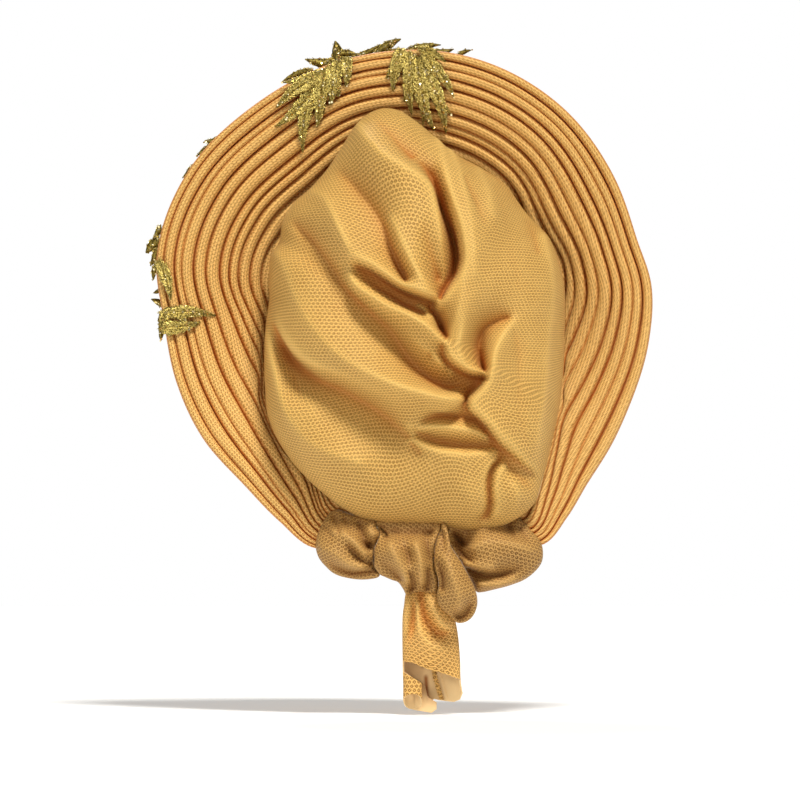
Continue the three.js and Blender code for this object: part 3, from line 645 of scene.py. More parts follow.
class Nodes:
    """Adds and joins the nodes of one tree."""

    def __init__(self, tree: bpy.types.NodeTree) -> None:
        """Keeps the tree, emptied."""
        self.tree = tree
        tree.nodes.clear()

    def add(self, kind: str, inputs: dict[str | int, Any] | None = None, **settings: Any) -> bpy.types.Node:
        """Adds a node.

        Args:
            kind: Blender's name of the node.
            inputs: Sockets to join, or values to set, by socket name or place.
            settings: Properties of the node.

        Returns:
            The node.
        """
        node = self.tree.nodes.new(kind)
        for name, value in settings.items():
            setattr(node, name, value)
        for key, value in (inputs or {}).items():
            socket = self.socket(node.inputs, key)
            if isinstance(value, Socket):
                self.tree.links.new(value, socket)
            else:
                socket.default_value = value
        return node

    @staticmethod
    def socket(sockets: Any, key: str | int) -> Socket:
        """Finds a socket by its place, or the first one in use by its name."""
        named = (socket for socket in sockets if socket.name == key and socket.enabled)
        return sockets[key] if isinstance(key, int) else next(named)

    def math(self, operation: str, *values: Any) -> Socket:
        """Adds a math node over sockets or numbers and returns its result."""
        return self.add("ShaderNodeMath", dict(enumerate(values)), operation=operation).outputs[0]

    def vector(self, operation: str, *values: Any) -> Socket:
        """Adds a vector math node over sockets or vectors and returns its result."""
        node = self.add("ShaderNodeVectorMath", dict(enumerate(values)), operation=operation)
        return node.outputs["Value" if operation == "LENGTH" else "Vector"]

    def scaled(self, vector: Socket, scale: Any) -> Socket:
        """Vector times a number."""
        inputs = {0: vector, "Scale": scale}
        return self.add("ShaderNodeVectorMath", inputs, operation="SCALE").outputs["Vector"]

    def times(self, a: Any, b: Any) -> Socket:
        """Product of two numbers."""
        return self.math("MULTIPLY", a, b)

    def combined(self, x: Any, y: Any, z: Any = 0.0) -> Socket:
        """Vector made of numbers."""
        return self.add("ShaderNodeCombineXYZ", {0: x, 1: y, 2: z}).outputs[0]

    def noise(self, place: Socket, scale: float, detail: float, **settings: Any) -> bpy.types.Node:
        """Adds a noise texture over places."""
        return self.add("ShaderNodeTexNoise", {"Vector": place, "Scale": scale, "Detail": detail}, **settings)

    def ramp(self, value: Socket, low: float, high: float) -> Socket:
        """Goes smoothly from 0 to 1 as a value goes from low to high, where high may be the lower."""
        inputs = {"Value": value, "From Min": low, "From Max": high}
        return self.add("ShaderNodeMapRange", inputs, interpolation_type="SMOOTHSTEP").outputs[0]

    def blend(self, share: Any, a: Any, b: Any) -> Socket:
        """Mixes two colours."""
        node = self.add("ShaderNodeMix", {"Factor": share, "A": a, "B": b}, data_type="RGBA")
        return self.socket(node.outputs, "Result")


class Grower(Nodes):
    """A Geometry Nodes tree with named inputs, run on one object and turned into a plain mesh."""

    def __init__(self, name: str, sizes: dict[str, float], seed: int) -> None:
        """Makes the tree and its inputs.

        Args:
            name: Name of the tree.
            sizes: Named sizes with their values.
            seed: Seed of whatever is random in the tree.
        """
        super().__init__(bpy.data.node_groups.new(name, "GeometryNodeTree"))
        face = self.tree.interface
        face.new_socket("Geometry", in_out="INPUT", socket_type="NodeSocketGeometry")
        face.new_socket("Geometry", in_out="OUTPUT", socket_type="NodeSocketGeometry")
        self.settings = {**sizes, "Seed": seed}
        for key in self.settings:
            kind = "NodeSocketInt" if key == "Seed" else "NodeSocketFloat"
            face.new_socket(key, in_out="INPUT", socket_type=kind)
        self.given = self.add("NodeGroupInput").outputs
        self.result = self.add("NodeGroupOutput")

    def value(self, name: str, kind: str = "FLOAT") -> Socket:
        """Named value of the points."""
        node = self.add("GeometryNodeInputNamedAttribute", {"Name": name}, data_type=kind)
        return self.socket(node.outputs, "Attribute")

    def random(self, low: Any, high: Any, kind: str = "FLOAT") -> Socket:
        """Value drawn between two limits from the tree's seed."""
        inputs = {"Min": low, "Max": high, "Seed": self.given["Seed"]}
        return self.socket(self.add("FunctionNodeRandomValue", inputs, data_type=kind).outputs, "Value")

    def copies(self, points: Socket, item: Socket, turn: Socket, scale: Socket) -> Socket:
        """Sets a turned and scaled copy of an item on each point."""
        inputs = {"Points": points, "Instance": item, "Rotation": turn, "Scale": scale}
        return self.add("GeometryNodeInstanceOnPoints", inputs).outputs[0]

    def finish(self, shape: Socket, material: Material) -> None:
        """Makes copies real, gives them their material and ends the tree.

        Args:
            shape: What the tree has grown.
            material: Its material.
        """
        real = self.add("GeometryNodeRealizeInstances", {0: shape})
        dressed = self.add("GeometryNodeSetMaterial", {"Geometry": real.outputs[0], "Material": material})
        self.tree.links.new(dressed.outputs[0], self.result.inputs[0])

    def grow(self, ground: Piece, name: str) -> Piece:
        """Runs the tree on an object.

        Args:
            ground: The object that it grows on, which is used up.
            name: Name of the piece.

        Returns:
            The piece, a plain mesh with no modifier.
        """
        modifier = ground.modifiers.new("Growth", "NODES")
        modifier.node_group = self.tree
        for item in self.tree.interface.items_tree:
            if item.in_out == "INPUT" and item.name in self.settings:
                modifier[item.identifier] = self.settings[item.name]
        ground.update_tag()
        graph = bpy.context.evaluated_depsgraph_get()
        grown = ground.evaluated_get(graph)
        mesh = bpy.data.meshes.new_from_object(grown, preserve_all_data_layers=True, depsgraph=graph)
        mesh.name = name
        bpy.data.objects.remove(ground)
        return linked(bpy.data.objects.new(name, mesh))


class Finish(Nodes):
    """A material and its nodes."""

    def __init__(self, name: str) -> None:
        """Makes the material.

        Args:
            name: Its name.
        """
        self.material = bpy.data.materials.new(name)
        self.material.use_nodes = True
        super().__init__(self.material.node_tree)

    def cloth_place(self) -> Socket:
        """Place in the cloth, in metres, by the piece's own UV map."""
        return self.add("ShaderNodeUVMap", uv_map="UVMap").outputs[0]

    def weave(self, uv: Socket, pitch: float) -> Socket:
        """Height of crossing threads, from -1 to 1.

        Args:
            uv: Place in the cloth.
            pitch: Width of a thread and its gap, in metres.

        Returns:
            The height.
        """
        x, y, _ = self.add("ShaderNodeSeparateXYZ", {0: self.scaled(uv, 2 * math.pi / pitch)}).outputs
        return self.times(self.math("SINE", x), self.math("SINE", y))

    def painted_shading_amount(self) -> Socket:
        """Amount of painted shading at each place, from a value on the piece's points: painted shade in
        folds, painted highlight where it is below 0.
        """
        return self.add("ShaderNodeAttribute", attribute_name="deep").outputs["Fac"]

    def ended(self, height: Socket, strength: float, distance: float, looks: dict[str, Any]) -> Material:
        """Ends the nodes in a shader.

        Args:
            height: Height of the small relief.
            strength: Strength of the relief.
            distance: Its depth in metres.
            looks: Sockets of the shader with their values.

        Returns:
            The material.
        """
        bump = self.add("ShaderNodeBump", {"Height": height, "Strength": strength, "Distance": distance})
        shader = self.add("ShaderNodeBsdfPrincipled", {**looks, "Normal": bump.outputs[0]})
        self.add("ShaderNodeOutputMaterial", {0: shader.outputs[0]})
        return self.material


def srgb(red: int, green: int, blue: int) -> Rgba:
    """Linear colour of a screen colour given from 0 to 255."""
    shares = (c / 255 for c in (red, green, blue))
    return (*(((c + 0.055) / 1.055) ** 2.4 if c > 0.04 else c / 12.92 for c in shares), 1.0)


@dataclass(frozen=True)
class Jacquard:
    """Figured satin cloth: small rings in staggered rows over a fine weave.

    Attributes:
        ground: Colour between the figures.
        figure: Colour of the rings.
        glint: Colour of the lit threads inside and beside the rings, and of painted highlights on crests and
            threads.
        deep: Colour of the painted shade deep in a fold.
        period: Distance between figures, in metres.
        squash: How much closer the rows of figures stand than the figures of a row.
        wander: How far the figures stray, in metres.
        diamond: Share of a diamond in the rings' outline, beside a circle.
        outer: Reach from the middle of a figure at which its ring ends, from none to full.
        inner: Reach at which the ring begins, from full to none.
        border: Reach at which the lit threads between the figures begin.
        thread: Width of a thread and its gap, in metres.
    """

    name: str
    ground: Rgba
    figure: Rgba
    glint: Rgba
    deep: Rgba
    period: float
    squash: float = 1.18
    wander: float = 0.0004
    diamond: float = 0.42
    outer: tuple[float, float] = (0.39, 0.31)
    inner: tuple[float, float] = (0.17, 0.1)
    border: tuple[float, float] = (0.4, 0.47)
    contrast: float = 0.8
    thread: float = 0.00052

    def reach(self, n: Finish, uv: Socket) -> Socket:
        """Distance of each place from the middle of its figure.

        Args:
            n: Nodes of the material.
            uv: Place in the cloth.

        Returns:
            The distance, in figures.
        """
        stray = n.vector("SUBTRACT", n.noise(uv, 900.0, 1.0).outputs["Color"], (0.5, 0.5, 0.5))
        strayed = n.vector("ADD", uv, n.scaled(stray, self.wander))
        placed = n.vector("MULTIPLY", strayed, (1 / self.period, self.squash / self.period, 0))
        across, along, _ = n.add("ShaderNodeSeparateXYZ", {0: placed}).outputs
        odd = n.math("FLOORED_MODULO", n.math("FLOOR", along), 2.0)
        staggered = n.math("MULTIPLY_ADD", odd, 0.5, across)
        shares = (n.math("FRACT", value) for value in (staggered, along))
        x, y = (n.math("ABSOLUTE", n.math("SUBTRACT", share, 0.5)) for share in shares)
        diamond = n.times(n.math("ADD", x, y), self.diamond)
        return n.math("MULTIPLY_ADD", n.vector("LENGTH", n.combined(x, y)), 0.5, diamond)

    def made(self) -> Material:
        """Builds the material.

        Returns:
            The material, which reads the piece's own UV map and its value of painted shading.
        """
        n = Finish(self.name)
        uv = n.cloth_place()
        reach = self.reach(n, uv)
        inner = n.ramp(reach, *self.inner)
        ring = n.math("SUBTRACT", n.ramp(reach, *self.outer), inner)
        lit = n.math("MAXIMUM", inner, n.ramp(reach, *self.border))
        patches = n.noise(uv, 38.0, 3.0).outputs["Fac"]
        grain = n.noise(uv, 1450.0, 0.0).outputs["Fac"]
        # The piece's painted shading: painted shade in creases, painted highlight on crests.
        deep = n.painted_shading_amount()
        colour = self.ground
        for share, other in (
            (n.times(lit, 0.55), self.glint),
            (n.times(ring, n.math("MULTIPLY_ADD", patches, 0.5, self.contrast - 0.25)), self.figure),
            (n.times(n.ramp(patches, 0.3, 0.75), 0.16), self.glint),  # broad, faint patches
            (n.times(n.ramp(grain, 0.44, 0.26), 0.5), self.figure),  # dark threads
            (n.times(n.ramp(grain, 0.6, 0.74), 0.8), self.glint),  # painted glints on bright threads
            (n.times(deep, -0.4), self.glint),  # painted highlight on crests, where the painted shading is below 0
            (n.times(deep, 0.9), self.deep),  # painted shade in creases
        ):
            colour = n.blend(share, colour, other)
        height = n.math("ADD", n.times(ring, -1.0), n.times(n.weave(uv, self.thread), 0.35))
        looks = {
            "Base Color": colour,
            "Roughness": n.math("MULTIPLY_ADD", lit, -0.14, 0.62),
            "Specular IOR Level": 0.22,
            "Sheen Weight": 0.06,
            "Sheen Roughness": 0.4,
            "Sheen Tint": (1.0, 0.8, 0.5, 1.0),
        }
        return n.ended(height, 0.4, 0.00022, looks)


@dataclass(frozen=True)
class Plain:
    """Plain woven cloth, such as the wrong side of the jacquard.

    Attributes:
        ground: Colour of the cloth.
        dark: Colour of its darker threads.
        deep: Colour of the painted shade deep in a fold.
        thread: Width of a thread and its gap, in metres.
    """

    name: str
    ground: Rgba
    dark: Rgba
    deep: Rgba
    thread: float = 0.0009

    def made(self) -> Material:
        """Builds the material.

        Returns:
            The material, which reads the piece's own UV map and its value deep.
        """
        n = Finish(self.name)
        uv = n.cloth_place()
        weave = n.weave(uv, self.thread)
        slub = n.noise(uv, 260.0, 2.0).outputs["Fac"]
        dark = n.times(n.ramp(weave, -0.2, 0.9), n.times(slub, 0.6))
        # The colour is blended towards painted shade where the piece's painted shading is high.
        looks = {
            "Base Color": n.blend(n.painted_shading_amount(), n.blend(dark, self.ground, self.dark), self.deep),
            "Roughness": n.math("MULTIPLY_ADD", slub, 0.2, 0.6),
            "Specular IOR Level": 0.25,
            "Sheen Weight": 0.2,
        }
        return n.ended(weave, 0.3, 0.0002, looks)


@dataclass(frozen=True)
class Thread:
    """Thread, cord or spangle with a colour that varies from strand to strand.

    Attributes:
        dark: Darkest colour.
        light: Lightest colour.
        roughness: Mean roughness.
        metal: How metallic it is.
        grain: Strands to a metre in the colour's variation.
    """

    name: str
    dark: Rgba
    light: Rgba
    roughness: float
    metal: float = 0.0
    grain: float = 1600.0

    def made(self) -> Material:
        """Builds the material.

        Returns:
            The material, which reads Object coordinates.
        """
        n = Finish(self.name)
        place = n.add("ShaderNodeTexCoord").outputs["Object"]
        strand = n.noise(place, self.grain, 1.0).outputs["Fac"]
        looks = {
            "Base Color": n.blend(n.ramp(strand, 0.36, 0.64), self.dark, self.light),
            "Roughness": n.math("MULTIPLY_ADD", strand, 0.25, self.roughness - 0.12),
            "Metallic": self.metal,
        }
        return n.ended(strand, 0.5, 0.0001, looks)


class Wardrobe:
    """Every finish of the wrap, each made a material once."""

    def __init__(self) -> None:
        """Builds the materials."""
        # Each jacquard's colours are ground, figure, glint and the painted shade of its creases; the lining's
        # last colour is painted shade too.
        pleats = (srgb(213, 160, 80), srgb(124, 71, 16), srgb(246, 203, 124), srgb(200, 112, 38))
        bag = (srgb(190, 144, 68), srgb(98, 55, 10), srgb(240, 197, 112), srgb(184, 106, 38))
        # The knot's jacquard is the same cloth painted darker all over, as painted shade for the shadow of
        # the bag above it.
        knot = (srgb(155, 109, 49), srgb(70, 37, 6), srgb(210, 166, 96), srgb(112, 60, 16))
        tail = (srgb(204, 150, 72), srgb(104, 56, 12), srgb(244, 198, 116), srgb(200, 112, 38))
        lining = (srgb(236, 202, 146), srgb(218, 180, 120), srgb(150, 84, 30))
        self.pleats = Jacquard("pleat_jacquard", *pleats, 0.0028).made()
        self.bag = Jacquard("bag_jacquard", *bag, 0.0031).made()
        self.knot = Jacquard("shaded_knot_jacquard", *knot, 0.003).made()
        self.tail = Jacquard("tail_jacquard", *tail, 0.0031).made()
        self.lining = Plain("lining_cloth", *lining).made()
        self.stitch = Thread("seam_thread", srgb(110, 58, 10), srgb(150, 92, 30), 0.6).made()
        self.fray = Thread("frayed_thread", srgb(214, 160, 80), srgb(250, 214, 150), 0.7).made()
        self.leaf = Thread("lace_ground", srgb(84, 70, 14), srgb(152, 132, 54), 0.5, 0.55, 900.0).made()
        self.strand = Thread("lace_thread", srgb(114, 94, 24), srgb(236, 214, 124), 0.34, 0.75, 1300.0).made()
        self.spangle = Thread("lace_spangle", srgb(214, 182, 90), srgb(255, 244, 200), 0.2, 0.9, 700.0).made()


def settle(piece: Piece, nodes: Sequence[str] = ()) -> Piece:
    """Fits a finished piece into the frame and drops the values that only built it.

    Args:
        piece: The piece.
        nodes: CAD nodes that it stands for.

    Returns:
        The piece.
    """
    values = piece.data.attributes
    kept = ("UVMap", "deep", "sharp_face", "material_index")
    spare = [a.name for a in values if not (a.is_internal or a.is_required or a.name in kept)]
    for name in spare:
        values.remove(values[name])
    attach(piece, BODY)
    if nodes:
        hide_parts(*nodes)
    LOG.info("%s: %d faces", piece.name, len(piece.data.polygons))
    return piece


@dataclass
class Stitching:
    """Runs of stitches along lines, grown by a node tree."""

    spacing: float = 2.6
    length: float = 1.5
    thickness: float = 0.42
    seed: int = 7

    def sew(self, lines: Sequence[Array], name: str, material: Material) -> Piece:
        """Sews stitches along lines.

        Args:
            lines: Points of each line, in millimetres.
            name: Name of the piece.
            material: Material of the thread.

        Returns:
            The piece of stitches.
        """
        names = ("Spacing", "Stitch Length", "Thread Thickness")
        sizes = {key: size * MM for key, size in zip(names, (self.spacing, self.length, self.thickness))}
        g = Grower("stitch_run", sizes, self.seed)
        curve = g.add("GeometryNodeMeshToCurve", {"Mesh": g.given["Geometry"]}).outputs[0]
        steps = {"Curve": curve, "Length": g.given["Spacing"]}
        even = g.add("GeometryNodeResampleCurve", steps, mode="LENGTH").outputs[0]
        bead = g.add("GeometryNodeMeshUVSphere", {"Segments": 6, "Rings": 4, "Radius": 0.5}).outputs["Mesh"]
        thick = g.given["Thread Thickness"]
        size = g.combined(g.given["Stitch Length"], thick, thick)
        stitch = g.add("GeometryNodeTransform", {"Geometry": bead, "Scale": size}).outputs[0]
        way = g.add("GeometryNodeInputTangent").outputs[0]
        turn = g.add("FunctionNodeAlignRotationToVector", {"Vector": way}, axis="X").outputs[0]
        g.finish(g.copies(even, stitch, turn, g.random(0.8, 1.15)), material)
        return g.grow(wired(name + "_lines", lines), name)


@dataclass
class PleatedBrim:
    """The fan of pleats: one folded cloth swept about the face from nape to nape.

    Attributes:
        rolls: Shares of a row's width at which its back face is sampled, from valley to valley.
        fronts: The same on its front face.
        roundness: Power of the pleats' round crests.
        unevenness: How far the hand-laid cloth strays.
        valley_shade: Width of the painted shade line along a valley, at the back and at the front.
        front_valley_shade: Strength of the painted shade line at the front.
        row_shift: How far the figures are shifted from row to row.
        stretch: Length of cloth across the rows for each millimetre of their width.
        edge: Length and width of the cloth on its edges, in metres.
        stitched: Valleys held by stitches, with the angles where these start and end.
    """

    wardrobe: Wardrobe
    steps_round: int = 342
    rolls: tuple[float, ...] = (0, 0.03, 0.08, 0.16, 0.27, 0.42, 0.58, 0.73, 0.84, 0.92, 0.97)
    fronts: tuple[float, ...] = (0, 0.2, 0.36, 0.46, 0.5, 0.54, 0.64, 0.8)
    roundness: float = 3.2
    unevenness: float = 0.55
    valley_shade: tuple[float, float] = (0.75, 1.2)
    front_valley_shade: float = 0.5
    row_shift: float = 3.7
    stretch: float = 1.35
    edge: tuple[float, float] = (0.8, 0.002)
    stitched: Rows = ((1, -118, -22), (3, -100, -30), (2, 34, 122), (5, 42, 118), (7, 50, 100))
    stitch_rise: float = 1.2

    def __post_init__(self) -> None:
        """Lays out the lines and the rows."""
        angle = GATHERED_SECTIONS.columns["angle"]
        self.angles = np.linspace(angle[0], angle[-1], self.steps_round)
        self.lines = BrimLines(self.angles, GATHERED_SECTIONS)
        self.valleys = self.lines.valleys()
        self.widths = np.diff(self.valleys, axis=1)

    def samples(self, shares: Sequence[float]) -> tuple[Array, Array]:
        """Lays out the samples across the brim, with the last valley at the end.

        Args:
            shares: Shares of a row's width, from valley to valley.

        Returns:
            Row of each sample and its share of the row's width.
        """
        rows = self.widths.shape[1]
        row = np.append(np.repeat(np.arange(rows), len(shares)), rows - 1)
        return row, np.append(np.tile(shares, rows), 1.0)

    def strength(self, row: Array, phase: Array) -> Array:
        """How deep the nearer valley is pressed, from 0 to 1."""
        valley = row + (phase > 0.5)
        return left_to_right(np.array(LEFT_VALLEYS)[valley], np.array(RIGHT_VALLEYS)[valley], self.angles)

    def face(self, shell: Shell, back: bool) -> tuple[Array, Array]:
        """Adds the points of one face of the cloth, before it is folded.

        Args:
            shell: Where the points go.
            back: True for the face seen from behind.

        Returns:
            Indexes and UVs, in rows about the face and columns across.
        """
        row, phase = self.samples(self.rolls if back else self.fronts)
        width = self.widths[:, row]
        lengths = self.valleys[:, row] + phase * width
        place, normal = self.lines.point(lengths), self.lines.normal(lengths)
        points, before = (
            on_plane(self.angles[:, None], spot[..., 0], spot[..., 1]) for spot in (place, place - normal)
        )
        strength = self.strength(row, phase)
        used = phase if back else (phase + 0.5) % 1.0
        edge = np.minimum(used, 1 - used)[None, :] * width
        # Painted shade: a dark line along each valley, on the back as strong as the valley is pressed, on the
        # front even.
        valley_shade = np.exp(-((edge / self.valley_shade[not back]) ** 2)) * (strength if back else self.front_valley_shade)
        valley_shade[:, [0, -1]] = 0
        crest = points[:, (np.abs(phase - 0.5)).argmin()]
        radius = place[..., 0] / np.maximum(from_brim(crest)[1], 1)[:, None]
        along = run_of(crest)[:, None] * radius + (row * self.row_shift)[None, :]
        side = MM if back else -MM
        index = shell.scatter(
            points,
            outward=points - before,
            phase=np.broadcast_to(used, width.shape),
            depth=pleat_depth(width) * side,
            lift=np.clip(PLEAT_WALL_SHARE * width, BRIM_WALL_THINNEST, BRIM_WALL_THICKEST) / 2 * side,
            strength=strength if back else np.ones_like(width),
            deep=np.clip(valley_shade, 0, 1),
        )
        return index, np.stack([along, lengths * self.stretch], axis=-1) * MM

    def folding(self) -> Grower:
        """Builds the tree that folds flat cloth into rolls along its outward direction.

        Returns:
            The tree.
        """
        g = Grower("pleat_folding", {"Roundness": self.roundness, "Unevenness": self.unevenness * MM}, 11)
        side = g.math("ABSOLUTE", g.math("MULTIPLY_ADD", g.value("phase"), 2.0, -1.0))
        round_side = g.math("SUBTRACT", 1.0, g.math("POWER", side, g.given["Roundness"]))
        roll = g.math("SQRT", g.math("MAXIMUM", round_side, 0.0))
        held = g.times(g.value("strength"), g.math("SUBTRACT", 1.0, roll))
        height = g.times(g.math("SUBTRACT", 0.5, held), g.value("depth"))
        noise = g.noise(g.add("GeometryNodeInputPosition").outputs[0], 75.0, 2.0, noise_dimensions="4D")
        g.tree.links.new(g.given["Seed"], noise.inputs["W"])
        level = g.math("SUBTRACT", g.socket(noise.outputs, "Fac"), 0.5)
        hand = g.times(g.times(level, g.given["Unevenness"]), 2.0)
        rise = g.math("ADD", g.math("ADD", height, g.value("lift")), hand)
        offset = g.scaled(g.value("outward", "FLOAT_VECTOR"), rise)
        moved = g.add("GeometryNodeSetPosition", {"Geometry": g.given["Geometry"], "Offset": offset})
        g.finish(moved.outputs[0], self.wardrobe.pleats)
        return g

    def cloth(self) -> Piece:
        """Folds the cloth of the brim and closes its edges.

        Returns:
            The cloth.
        """
        shell = Shell()
        back, back_uv = self.face(shell, True)
        front, front_uv = self.face(shell, False)
        shell.weave(back, back_uv)
        shell.weave(front[:, ::-1], front_uv[:, ::-1])
        uv = np.zeros((len(back), 2, 2))
        uv[..., 0] = np.linspace(0, self.edge[0], len(back))[:, None]
        uv[:, 1, 1] = self.edge[1]
        for first, last in ((front[:, :1], back[:, :1]), (back[:, -1:], front[:, -1:])):
            shell.weave(np.hstack([first, last]), uv)
        for end, turn in ((0, -1), (-1, 1)):
            shell.patch(self.end_faces(back[end], front[end])[:, ::turn])
        ground = shell.piece("pleated_brim_flat", [self.wardrobe.pleats])
        return self.folding().grow(ground, "pleated_brim_cloth")

    def end_faces(self, back: Array, front: Array) -> Array:
        """Triangles that close one end of the brim between its two faces, row by row.

        Args:
            back: Indexes of the end of the back face.
            front: Indexes of the end of the front face.

        Returns:
            Corners of the triangles.
        """
        near, far = len(self.rolls), len(self.fronts)
        faces = []
        for row in range(self.widths.shape[1]):
            rear, fore = back[row * near : row * near + near + 1], front[row * far : row * far + far + 1]
            ring = [*rear, *fore[::-1]]
            faces += [(ring[0], ring[k], ring[k + 1]) for k in range(1, len(ring) - 1)]
        return np.array(faces)

    def stitched_lines(self) -> list[Array]:
        """Finds the valleys that a row of stitches holds shut.

        Returns:
            Lines of points.
        """
        lines = []
        for valley, first, last in self.stitched:
            keep = (self.angles > first) & (self.angles < last)
            lengths = self.valleys[:, valley : valley + 1]
            place, normal = self.lines.point(lengths)[:, 0], self.lines.normal(lengths)[:, 0]
            pressed = self.strength(np.array([valley]), np.array([0.0]))[:, 0]
            rise = pleat_depth(self.widths[:, valley]) * (0.5 - pressed) + self.stitch_rise
            spot = place + normal * rise[:, None]
            lines.append(on_plane(self.angles, spot[:, 0], spot[:, 1])[keep])
        return lines

    def build(self) -> list[Piece]:
        """Makes the pleats and their stitches.

        Returns:
            The pieces.
        """
        cloth = settle(self.cloth(), ["pleated_brim"])
        stitches = Stitching().sew(self.stitched_lines(), "brim_stitches", self.wardrobe.stitch)
        return [cloth, settle(stitches)]


